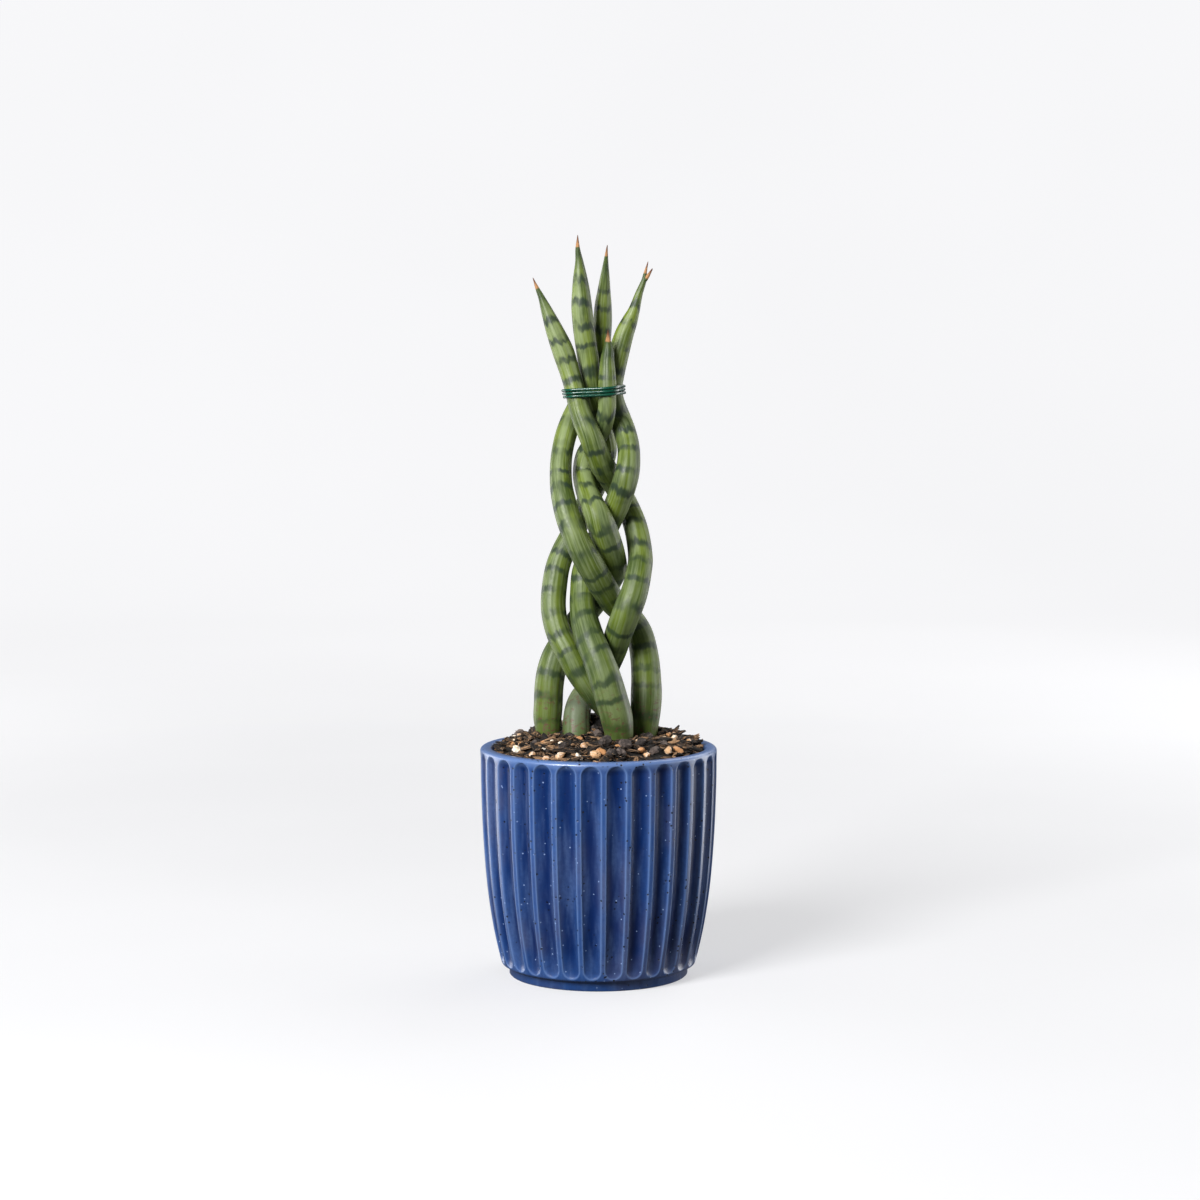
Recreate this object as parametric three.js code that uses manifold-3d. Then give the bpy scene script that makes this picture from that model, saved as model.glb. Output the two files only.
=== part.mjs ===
// Potted twister snake plant: five cylindrical leaves braided together, bound near the top with
// coated wire, rooted in gritty potting mix in a fluted glazed pot.
// Millimetres, +Z up, origin at the centre of the pot's foot, front of the plant towards -Y.

import * as THREE from 'three';
import { mergeVertices } from 'three/addons/utils/BufferGeometryUtils.js';
import Module from 'manifold-3d';

const wasm = await Module();
wasm.setup();

// Driving dimensions: pot
const RIM_RADIUS = 75.3;
const POT_HEIGHT = 146;
const LIP_WIDTH = 7.5;
const LIP_ROUND = 2.7;
const INNER_ROUND = 1.8;
const WALL_FOOT = 7;
const FOOT_RADIUS = 57;
const FOOT_INNER_RADIUS = 51;
const FOOT_HEIGHT = 6.5;
const FOOT_RECESS = 3;
const FLOOR_TOP = 11;
const FLOOR_RADIUS = 54;
const DRAIN_RADIUS = 7;
const FLUTE_COUNT = 30;
const FLUTE_DEPTH = 2.4;
const FLUTE_PHASE = THREE.MathUtils.degToRad(-3.5);
const FLUTE_BOTTOM = 9;
const FLUTE_TOP = 143.5;
const FLUTE_END_LENGTH = 6;
const FLUTE_COLUMNS = [-0.13, 0.13, 0.34, 0.66];
const FLUTE_COLUMN_DEPTHS = [0, 0, 0.9, 0.9];

// Driving dimensions: leaves
const LEAF_SIDES = 12;
const LEAF_RINGS = 40;
const RIDGE_SHARE = 0.05;
const SEAT_GAP = 0.3;

// Driving dimensions: potting mix
const SOIL_EDGE = 142;
const SOIL_MOUND = 10.5;
const SOIL_MOUND_RADIUS = 67;
const SOIL_MOUND_POWER = 4;
const SOIL_SIDES = 36;
const SOIL_RINGS = 7;
const SOIL_ROUGHNESS = 0.9;
const PEBBLE_COUNT = 26;
const CHIP_COUNT = 30;
const PEBBLE_RADIUS = 2.3;
const CHIP_LENGTH = 9;
const CHIP_WIDTH = 3;
const CHIP_THICKNESS = 2.6;
const LUMP_TILT = 0.5;
const LUMP_RISE = 0.4;
const SEED = 7316;

// Driving dimensions: tie wire
const WIRE_DIAMETER = 1.7;
const WIRE_PITCH = 2.05;
const WIRE_TURNS = 3;
const WIRE_LOWEST = 368.2;
const WIRE_TILT = 0.045;
const WIRE_STEPS_PER_TURN = 36;
const WIRE_SIDES = 6;

// Each leaf's route from its tip to its root, as [x, y, z, radius], read off the plant's front
// view, with the depth set by which leaf passes in front at each crossing.
const LEAF_ROUTES = {
  leaf_1: [
    [-41, -1, 442, 0.25], [-38.5, -1.5, 436, 1.25], [-35.5, -2, 429.5, 2.25], [-32.5, -2, 422, 3.75],
    [-27.5, -2.5, 409.5, 5.75], [-22, -2.5, 396, 7], [-18, -3.5, 383.5, 6.5], [-15, -6, 373.5, 6.5],
    [-10.5, -12, 356.5, 7], [-4, -15, 341, 7.5], [1.5, -8.5, 327, 8], [6.5, 1.5, 318.5, 8],
    [11.5, 9.5, 310.5, 7.75], [19, 12, 297, 7.5], [24, 7, 283.5, 7.75], [26.5, -2, 267.5, 8],
    [25.5, -11, 258, 8.25], [22.5, -17, 245.5, 8.75], [18, -18, 234, 9.25], [13, -11.5, 220, 9],
    [9, -1, 206.5, 8.75], [2, 9, 190.5, 8.5], [-5, 13, 181.5, 8.5], [-11, 10.5, 174, 8.5],
    [-13.5, 4.5, 166.5, 8.75], [-14, -0.5, 155, 9], [-13.5, -3, 145, 8], [-13.5, -4, 121.5, 7.5],
  ],
  leaf_2: [
    [-13, -2, 468.5, 0.25], [-13, -1.5, 460.5, 1.5], [-12, -0.5, 452, 2.75], [-11.5, 0, 443, 4.5],
    [-11, 1, 434, 5.75], [-10.5, 1.5, 423.5, 6.75], [-9, 2.5, 408.5, 7], [-6.5, 4, 391, 7],
    [-5, 5.5, 375, 7], [-2, 9.5, 363, 7], [1.5, 13.5, 349.5, 7], [4.5, 17, 335.5, 7.25],
    [3, 19.5, 326, 7.25], [-0.5, 20.5, 314.5, 7.25], [-6.5, 19.5, 301.5, 7.25], [-12, 18, 289.5, 7.5],
    [-17.5, 15.5, 279, 7.5], [-22.5, 12.5, 269, 7.75], [-26, 9, 259, 8], [-28, 5, 246.5, 8.25],
    [-28.5, 1.5, 235, 8.25], [-27, -2, 225, 8.25], [-23.5, -5, 215.5, 8.5], [-18.5, -8, 206.5, 8.75],
    [-13.5, -9.5, 197, 8.75], [-7.5, -9, 188, 8.75], [-0.5, -5.5, 178.5, 8.75], [7.5, 3, 169.5, 8.75],
    [14, 11, 160, 8.5], [18, 16, 149, 8], [19, 18.5, 118, 7.25],
  ],
  leaf_3: [
    [5.5, 3, 462.5, 0.25], [5, 6, 457, 1], [4.5, 8.5, 450, 2], [4, 10.5, 442, 3.25],
    [3.5, 12.5, 434.5, 4.25], [3, 14, 425.5, 5.5], [2.5, 15.5, 413, 6.25], [1, 16.5, 397, 6.25],
    [-2.5, 18, 384, 6.5], [-7.5, 20.5, 372.5, 6.75], [-12.5, 19, 362.5, 6.75], [-17, 12, 353, 7],
    [-21, 5, 342, 7], [-23.5, -2.5, 328, 7], [-23.5, -9.5, 314, 7.25], [-21.5, -16, 302.5, 7.75],
    [-18.5, -20.5, 291.5, 8], [-13.5, -23.5, 279.5, 8.25], [-8, -22.5, 268.5, 8.75], [-2, -18, 258, 9],
    [3.5, -10.5, 248, 8.75], [9.5, -1.5, 238, 8.5], [17, 4.5, 230.5, 8.25], [23, 7.5, 223.5, 8.25],
    [27, 8.5, 214.5, 9], [29.5, 8, 201.5, 9.5], [30.5, 6.5, 187.5, 10], [30.5, 4, 177, 10.25],
    [30, 2, 166.5, 9.75], [29.5, 0.5, 156, 8.5], [30, 0, 146, 7.75], [30.5, -1, 121, 7.25],
  ],
  leaf_4: [
    [31, 0.5, 452, 0.25], [29.5, 1, 446, 1], [28.5, 1.5, 440.5, 1.75], [25.5, 2, 432.5, 2.5],
    [22.5, 2, 422.5, 3.75], [19.5, 2.5, 415, 5.25], [16, 2.5, 406.5, 6.25], [12.5, 2.5, 394, 6.75],
    [10, 2.5, 381.5, 6.5], [8.5, 1, 372.5, 6.75], [10, 1, 363.5, 7], [13.5, 3.5, 354, 7.25],
    [17, 0, 344.5, 7.25], [19, -6, 334.5, 7.25], [18.5, -11.5, 323.5, 7.75], [16, -11.5, 313, 8.25],
    [11.5, -4.5, 300, 8.25], [6, 3, 288, 8.25], [0.5, 9, 277, 8.5], [-5, 11.5, 266, 8.5],
    [-9, 7, 256, 8.25], [-10, 2.5, 245.5, 8.25], [-10, -3.5, 235, 8.5], [-8.5, -11, 226, 9.25],
    [-5, -18.5, 215.5, 9.75], [-0.5, -23, 205, 10], [4, -25.5, 193, 10.5], [8, -25, 179.5, 10.75],
    [11.5, -23, 166.5, 10.5], [13, -19.5, 154.5, 9.25], [13.5, -15.5, 144.5, 8.25], [14.5, -11, 122.5, 7.5],
  ],
  leaf_5: [
    [6, -11.5, 409.5, 0.25], [6, -10, 403, 1.75], [6, -9, 396.5, 3.75], [5.5, -9, 389.5, 4.75],
    [5.5, -11, 378.5, 5.75], [5.5, -12, 367.5, 5.75], [5, -10.5, 358.5, 6], [2.5, -4.5, 349, 6.25],
    [-2.5, 2, 339.5, 6.5], [-8, 5.5, 330.5, 6.75], [-9.5, 5.5, 320, 7], [-8, -2, 311, 7.25],
    [-4.5, -11.5, 302, 8], [-0.5, -17, 293.5, 8.75], [2.5, -16.5, 286, 9.25], [5.5, -12.5, 277.5, 9.25],
    [8.5, -6, 268.5, 8.75], [10, 3.5, 259, 8.25], [6, 15, 249, 8.25], [-0.5, 19.5, 239.5, 8.25],
    [-8, 20, 230, 8.5], [-15.5, 18, 220.5, 8.75], [-22, 15, 211, 9], [-27, 11, 202.5, 9.25],
    [-30, 8.5, 193, 9.5], [-31.5, 7, 183, 9.5], [-32, 7, 172, 9.5], [-32.5, 7, 163, 9.25],
    [-32, 6, 155, 8.25], [-31.5, 5.5, 145, 7.25], [-31.5, 5, 120, 7],
  ],
};

const FINISHES = {
  pot: { color: 0x3a5288, roughness: 0.28, metalness: 0 },
  soil: { color: 0x2c211b, roughness: 0.95, metalness: 0 },
  leaf: { color: 0x76895c, roughness: 0.5, metalness: 0 },
  wire: { color: 0x0e5c45, roughness: 0.35, metalness: 0 },
};

// Repeatable random draws between 0 and 1
function makeRandom(seed) {
  let state = seed;
  return () => {
    state = (state * 1664525 + 1013904223) % 4294967296;
    return state / 4294967296;
  };
}

function toSolid(geometry) {
  const bare = geometry.clone();
  bare.deleteAttribute('normal');
  bare.deleteAttribute('uv');
  const merged = mergeVertices(bare, 1e-4);
  return new wasm.Manifold(new wasm.Mesh({
    numProp: 3,
    vertProperties: new Float32Array(merged.attributes.position.array),
    triVerts: new Uint32Array(merged.index.array),
  }));
}

function toGeometry(solid) {
  const mesh = solid.getMesh();
  const geometry = new THREE.BufferGeometry();
  geometry.setAttribute('position', new THREE.BufferAttribute(mesh.vertProperties, 3));
  geometry.setIndex(new THREE.BufferAttribute(mesh.triVerts, 1));
  return geometry;
}

// The biggest body of a solid, without loose scraps
function largestBody(solid) {
  const bodies = solid.decompose();
  bodies.sort((a, b) => b.volume() - a.volume());
  return bodies[0];
}

function makeMesh(name, geometry, finish) {
  const mesh = new THREE.Mesh(geometry, new THREE.MeshStandardMaterial(finish));
  mesh.name = name;
  return mesh;
}

// Radius of the pot's outer wall, on its ribs, at a height above the foot
const WALL_OUTLINE = new THREE.CatmullRomCurve3([
  new THREE.Vector3(60.8, 0, WALL_FOOT),
  new THREE.Vector3(62.7, 0, 10),
  new THREE.Vector3(67.8, 0, 33),
  new THREE.Vector3(71.6, 0, 60),
  new THREE.Vector3(74, 0, 92),
  new THREE.Vector3(75.1, 0, 122),
  new THREE.Vector3(RIM_RADIUS, 0, FLUTE_TOP),
], false, 'chordal');

function wallRadius(height) {
  const points = WALL_OUTLINE.getPoints(60);
  const upper = Math.max(1, points.findIndex((point) => point.z >= height - 1e-6));
  const above = points[upper];
  const below = points[upper - 1];
  return THREE.MathUtils.mapLinear(height, below.z, above.z, below.x, above.x);
}

// How much of a flute's full depth is cut at a height: its two ends run out in a round
function fluteShare(height) {
  const fromEnd = Math.min(height - FLUTE_BOTTOM, FLUTE_TOP - height);
  if (fromEnd <= 0) {
    return 0;
  }
  const along = Math.min(fromEnd / FLUTE_END_LENGTH, 1);
  return Math.sqrt(1 - (1 - along) ** 2);
}

function buildPot() {
  const lipInner = RIM_RADIUS - LIP_WIDTH;
  const wallHeights = [WALL_FOOT, FLUTE_BOTTOM, 10.5, 15, 33, 60, 92, 122, 138, 142, FLUTE_TOP];
  const outline = [
    ...wallHeights.map((height) => new THREE.Vector2(wallRadius(height), height)),
    new THREE.Vector2(RIM_RADIUS - LIP_ROUND / 3, POT_HEIGHT - LIP_ROUND / 3),
    new THREE.Vector2(RIM_RADIUS - LIP_ROUND, POT_HEIGHT),
    new THREE.Vector2(lipInner + INNER_ROUND, POT_HEIGHT),
    new THREE.Vector2(lipInner, POT_HEIGHT - INNER_ROUND),
    new THREE.Vector2(FLOOR_RADIUS, FLOOR_TOP),
    new THREE.Vector2(DRAIN_RADIUS, FLOOR_TOP),
    new THREE.Vector2(DRAIN_RADIUS, FOOT_RECESS),
    new THREE.Vector2(FOOT_INNER_RADIUS, FOOT_RECESS),
    new THREE.Vector2(FOOT_INNER_RADIUS, 0),
    new THREE.Vector2(FOOT_RADIUS, 0),
    new THREE.Vector2(FOOT_RADIUS, FOOT_HEIGHT),
    new THREE.Vector2(wallRadius(WALL_FOOT), WALL_FOOT),
  ];
  const perFlute = FLUTE_COLUMNS.length;
  const columns = FLUTE_COUNT * perFlute;
  const geometry = new THREE.LatheGeometry(outline, columns);
  const position = geometry.attributes.position;
  const pitch = 2 * Math.PI / FLUTE_COUNT;
  for (let column = 0; column <= columns; column += 1) {
    const step = column % perFlute;
    const flute = Math.floor((column % columns) / perFlute);
    const angle = FLUTE_PHASE + (flute + FLUTE_COLUMNS[step] - 0.5) * pitch;
    for (let row = 0; row < outline.length; row += 1) {
      const { x: radius, y: height } = outline[row];
      const onWall = row < wallHeights.length;
      const cut = onWall ? FLUTE_DEPTH * FLUTE_COLUMN_DEPTHS[step] * fluteShare(height) : 0;
      const index = column * outline.length + row;
      position.setXYZ(index, (radius - cut) * Math.sin(angle), -(radius - cut) * Math.cos(angle), height);
    }
  }
  return geometry;
}

// A leaf's route as a curve, and its radius at the same curve parameter
function leafCurves(route) {
  return {
    centre: new THREE.CatmullRomCurve3(route.map(([x, y, z]) => new THREE.Vector3(x, y, z)), false,
      'catmullrom', 0.5),
    girth: new THREE.CatmullRomCurve3(route.map(([, , , radius]) => new THREE.Vector3(radius, 0, 0)),
      false, 'catmullrom', 0.5),
  };
}

// A cylinder's rings carried along the leaf's route, each scaled to the leaf's girth there, with
// every other corner drawn in for the lengthwise ridges. The clearance widens it for a plain hole.
function sweepLeaf(route, clearance = 0) {
  const { centre, girth } = leafCurves(route);
  const geometry = new THREE.CylinderGeometry(1, 1, 1, LEAF_SIDES, LEAF_RINGS);
  const frames = centre.computeFrenetFrames(LEAF_RINGS, false);
  const position = geometry.attributes.position;
  const point = new THREE.Vector3();
  for (let index = 0; index < position.count; index += 1) {
    point.fromBufferAttribute(position, index);
    const ring = Math.round((0.5 - point.y) * LEAF_RINGS);
    const share = ring / LEAF_RINGS;
    const around = Math.atan2(point.z, point.x);
    const onAxis = Math.hypot(point.x, point.z) < 0.5;
    const corner = Math.round(around / (2 * Math.PI / LEAF_SIDES));
    const ridge = corner % 2 === 0 || clearance > 0 ? 1 : 1 - RIDGE_SHARE;
    const radius = onAxis ? 0 : girth.getPoint(centre.getUtoTmapping(share)).x * ridge + clearance;
    const place = centre.getPointAt(share);
    place.addScaledVector(frames.normals[ring], radius * Math.cos(around));
    place.addScaledVector(frames.binormals[ring], radius * Math.sin(around));
    position.setXYZ(index, place.x, place.y, place.z);
  }
  return geometry;
}

// Height of the potting mix: low at the pot's wall, with a steep bank up to a broad top
function soilHeight(x, y) {
  const share = Math.min(Math.hypot(x, y) / SOIL_MOUND_RADIUS, 1);
  return SOIL_EDGE + SOIL_MOUND * (1 - share ** SOIL_MOUND_POWER);
}

function soilBody(random) {
  const wallTop = RIM_RADIUS - LIP_WIDTH;
  const wallSlope = (wallTop - FLOOR_RADIUS) / (POT_HEIGHT - INNER_ROUND - FLOOR_TOP);
  const edgeRadius = FLOOR_RADIUS + wallSlope * (SOIL_EDGE - FLOOR_TOP) - 1.5 * SEAT_GAP;
  const outline = [new THREE.Vector2(0, FLOOR_TOP + SEAT_GAP)];
  outline.push(new THREE.Vector2(FLOOR_RADIUS - 1.5 * SEAT_GAP, FLOOR_TOP + SEAT_GAP));
  for (let ring = SOIL_RINGS; ring > 0; ring -= 1) {
    outline.push(new THREE.Vector2(edgeRadius * ring / SOIL_RINGS, SOIL_EDGE));
  }
  outline.push(new THREE.Vector2(0, SOIL_EDGE + SOIL_MOUND));
  const geometry = new THREE.LatheGeometry(outline, SOIL_SIDES);
  geometry.rotateX(Math.PI / 2);
  const position = geometry.attributes.position;
  const rowCount = outline.length;
  for (let column = 0; column < SOIL_SIDES; column += 1) {
    for (let row = 3; row < rowCount - 1; row += 1) {
      const index = column * rowCount + row;
      const x = position.getX(index);
      const y = position.getY(index);
      const height = soilHeight(x, y) + SOIL_ROUGHNESS * (random() - 0.5) * 2;
      position.setZ(index, height);
      if (column === 0) {
        position.setZ(SOIL_SIDES * rowCount + row, height);
      }
    }
  }
  return geometry;
}

function pebble(size) {
  const lump = new THREE.IcosahedronGeometry(PEBBLE_RADIUS * size);
  lump.scale(1.2, 1, 0.8);
  return lump;
}

function barkChip(size) {
  return new THREE.BoxGeometry(CHIP_LENGTH * size, CHIP_WIDTH * size, CHIP_THICKNESS);
}

// Lumps of pumice and chips of bark, each sunk about half its depth in the mix
function soilLumps(random) {
  const lumps = [];
  const reach = RIM_RADIUS - LIP_WIDTH - CHIP_LENGTH / 2;
  for (let count = 0; count < PEBBLE_COUNT + CHIP_COUNT; count += 1) {
    const distance = reach * Math.sqrt(0.06 + 0.94 * random());
    const bearing = 2 * Math.PI * random();
    const x = distance * Math.sin(bearing);
    const y = -distance * Math.cos(bearing);
    const size = 0.8 + 0.6 * random();
    const lump = count < PEBBLE_COUNT ? pebble(size) : barkChip(size);
    lump.rotateX(LUMP_TILT * (random() - 0.5));
    lump.rotateY(LUMP_TILT * (random() - 0.5));
    lump.rotateZ(Math.PI * random());
    lump.translate(x, y, soilHeight(x, y) + LUMP_RISE);
    lumps.push(toSolid(lump));
  }
  return lumps;
}

function buildSoil() {
  const random = makeRandom(SEED);
  const body = toSolid(soilBody(random));
  const lumps = soilLumps(random);
  const filled = wasm.Manifold.union([body, ...lumps]);
  const holes = Object.values(LEAF_ROUTES).map((route) => toSolid(sweepLeaf(route, SEAT_GAP)));
  const bored = filled.subtract(wasm.Manifold.union(holes));
  return toGeometry(largestBody(bored));
}

// The wire's line round the bundle of leaves: at each bearing it lies on the leaf that reaches
// furthest out, so it runs straight across the gaps between leaves. It climbs one pitch a turn.
function wireLine() {
  const reachBeyond = WIRE_DIAMETER / 2 + SEAT_GAP;
  const balls = [];
  for (const route of Object.values(LEAF_ROUTES)) {
    const { centre, girth } = leafCurves(route);
    for (let share = 0; share <= 1; share += 0.004) {
      balls.push({ at: centre.getPoint(share), radius: girth.getPoint(share).x });
    }
  }
  const points = [];
  const steps = WIRE_STEPS_PER_TURN * WIRE_TURNS;
  for (let step = 0; step <= steps; step += 1) {
    const bearing = Math.PI / 2 + 2 * Math.PI * step / WIRE_STEPS_PER_TURN;
    const out = new THREE.Vector2(Math.cos(bearing), Math.sin(bearing));
    const height = WIRE_LOWEST + WIRE_PITCH * step / WIRE_STEPS_PER_TURN;
    let best = null;
    for (const { at, radius } of balls) {
      const away = Math.max(Math.abs(at.z - height - WIRE_TILT * at.x) - WIRE_DIAMETER / 2, 0);
      if (away < radius) {
        const section = Math.sqrt(radius ** 2 - away ** 2);
        const reach = at.x * out.x + at.y * out.y + section;
        if (best === null || reach > best.reach) {
          best = { reach, at, section };
        }
      }
    }
    const x = best.at.x + (best.section + reachBeyond) * out.x;
    const y = best.at.y + (best.section + reachBeyond) * out.y;
    points.push(new THREE.Vector3(x, y, height + WIRE_TILT * x));
  }
  return new THREE.CatmullRomCurve3(points, false, 'chordal');
}

function buildWire() {
  const section = new THREE.Shape();
  for (let side = 0; side < WIRE_SIDES; side += 1) {
    const angle = 2 * Math.PI * side / WIRE_SIDES;
    const x = WIRE_DIAMETER / 2 * Math.cos(angle);
    const y = WIRE_DIAMETER / 2 * Math.sin(angle);
    if (side === 0) {
      section.moveTo(x, y);
    } else {
      section.lineTo(x, y);
    }
  }
  section.closePath();
  return new THREE.ExtrudeGeometry(section, {
    steps: WIRE_STEPS_PER_TURN * WIRE_TURNS,
    extrudePath: wireLine(),
    bevelEnabled: false,
  });
}

const plant = new THREE.Group();
plant.add(makeMesh('pot', buildPot(), FINISHES.pot));
plant.add(makeMesh('soil', buildSoil(), FINISHES.soil));
for (const [name, route] of Object.entries(LEAF_ROUTES)) {
  plant.add(makeMesh(name, sweepLeaf(route), FINISHES.leaf));
}
plant.add(makeMesh('tie_wire', buildWire(), FINISHES.wire));

export default plant;
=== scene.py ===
"""Looks of a potted twister snake plant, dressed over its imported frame.

Five round leaves are braided together, bound with coated wire and rooted in gritty potting mix in
a fluted glazed pot. Every length is in metres unless a name ends in _mm, the plant's front faces
-Y, and the origin is the centre of the pot's foot.
"""

import logging
import math
from dataclasses import dataclass, field
from enum import Enum
from typing import Sequence

import bpy
import numpy as np
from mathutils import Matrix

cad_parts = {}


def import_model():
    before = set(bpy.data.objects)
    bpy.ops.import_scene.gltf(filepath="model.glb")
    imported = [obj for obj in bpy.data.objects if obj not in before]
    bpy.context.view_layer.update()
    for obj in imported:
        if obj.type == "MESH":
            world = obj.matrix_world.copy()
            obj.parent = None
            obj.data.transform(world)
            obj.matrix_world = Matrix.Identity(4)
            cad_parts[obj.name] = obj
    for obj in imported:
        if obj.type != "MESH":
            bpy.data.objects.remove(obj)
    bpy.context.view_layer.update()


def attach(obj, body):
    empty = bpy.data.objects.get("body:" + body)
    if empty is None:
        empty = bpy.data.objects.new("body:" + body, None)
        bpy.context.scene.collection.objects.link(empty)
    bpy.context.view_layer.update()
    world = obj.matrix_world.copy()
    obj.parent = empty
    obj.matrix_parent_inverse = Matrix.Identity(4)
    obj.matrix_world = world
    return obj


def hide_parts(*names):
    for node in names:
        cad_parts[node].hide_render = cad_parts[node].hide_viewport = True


LOG = logging.getLogger("snake_plant")
MM = 0.001
BODY = "root"

# Octaves of the smooth noise: how much shorter and lower each is than the last, and what their
# sum is divided by to lie between about -1 and 1
OCTAVES = 4
OCTAVE_SHORTER = 1.7
OCTAVE_LOWER = 1.6
NOISE_HEIGHT = 1.8

# Top of the mix: height at the pot's wall, rise to the middle, and radius of that rise
MOUND_EDGE = 142 * MM
MOUND_RISE = 10.5 * MM
MOUND_RADIUS = 67 * MM

# Small heaps on the mix, as (x, y, reach, rise)
HEAPS_MM = ((45, 6, 9, 5.0), (-50, 5, 8, 3.0), (33, 18, 9, 3.0), (-3, 12, 9, 11.0), (-26, 14, 8, 6.0))

# Second prong of leaf 4's split tip, as (x, y, z, radius), tip first
PRONG_MM = ((33.8, 0.5, 448, 0.3), (32, 0.7, 445, 0.95), (30, 0.9, 442, 1.4), (28.4, 1.4, 439.5, 1.2))

# Pebbles and lumps that lie where the photo shows them, as (x, y, width, tint)
PEBBLES_MM = (
    (-51, -30.5, 6, 1), (-34, -40.5, 3, 1), (-41, -45, 4.5, 0.35), (-40.5, -14, 2.5, 0.3),
    (-34.5, -27.5, 3.5, 0.15), (-33, -20, 1.8, 0.6), (-29, -25.5, 3, 0.8), (-23, -35, 4.5, 0.6),
    (-13.5, -39.5, 2.8, 0.7), (-9, -44, 4.5, 0.35), (-7, -34, 2, 0.3), (-24, -54.5, 5, 0.45),
    (-12.5, -55.5, 3, 1), (-11, -59, 3.5, 0.9), (-7.5, -59, 2.5, 0.35), (-2, -58, 6.5, 0.4),
    (2, -54, 5, 0.1), (-3.5, -49, 2.8, 0.9), (-49, -20, 3.5, 0.05), (30, -51, 4.2, 0.4),
    (26.5, -46, 4.2, 0), (12.5, -58.5, 2.6, 0.35), (43.5, -37.5, 4.8, 0.45), (49.5, -33, 5.5, 0.25),
    (59, -19, 1.8, 0.3), (6, -60, 2.2, 0.4),
)
LAVA_MM = (
    (4, -40.5, 9, 0.4), (16.5, -44, 9, 0.5), (13.5, -53, 6, 0.6), (8.5, -55, 6, 0.3), (26, -36, 7, 0.3),
    (34.5, -44, 6, 0.7),
)

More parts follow.
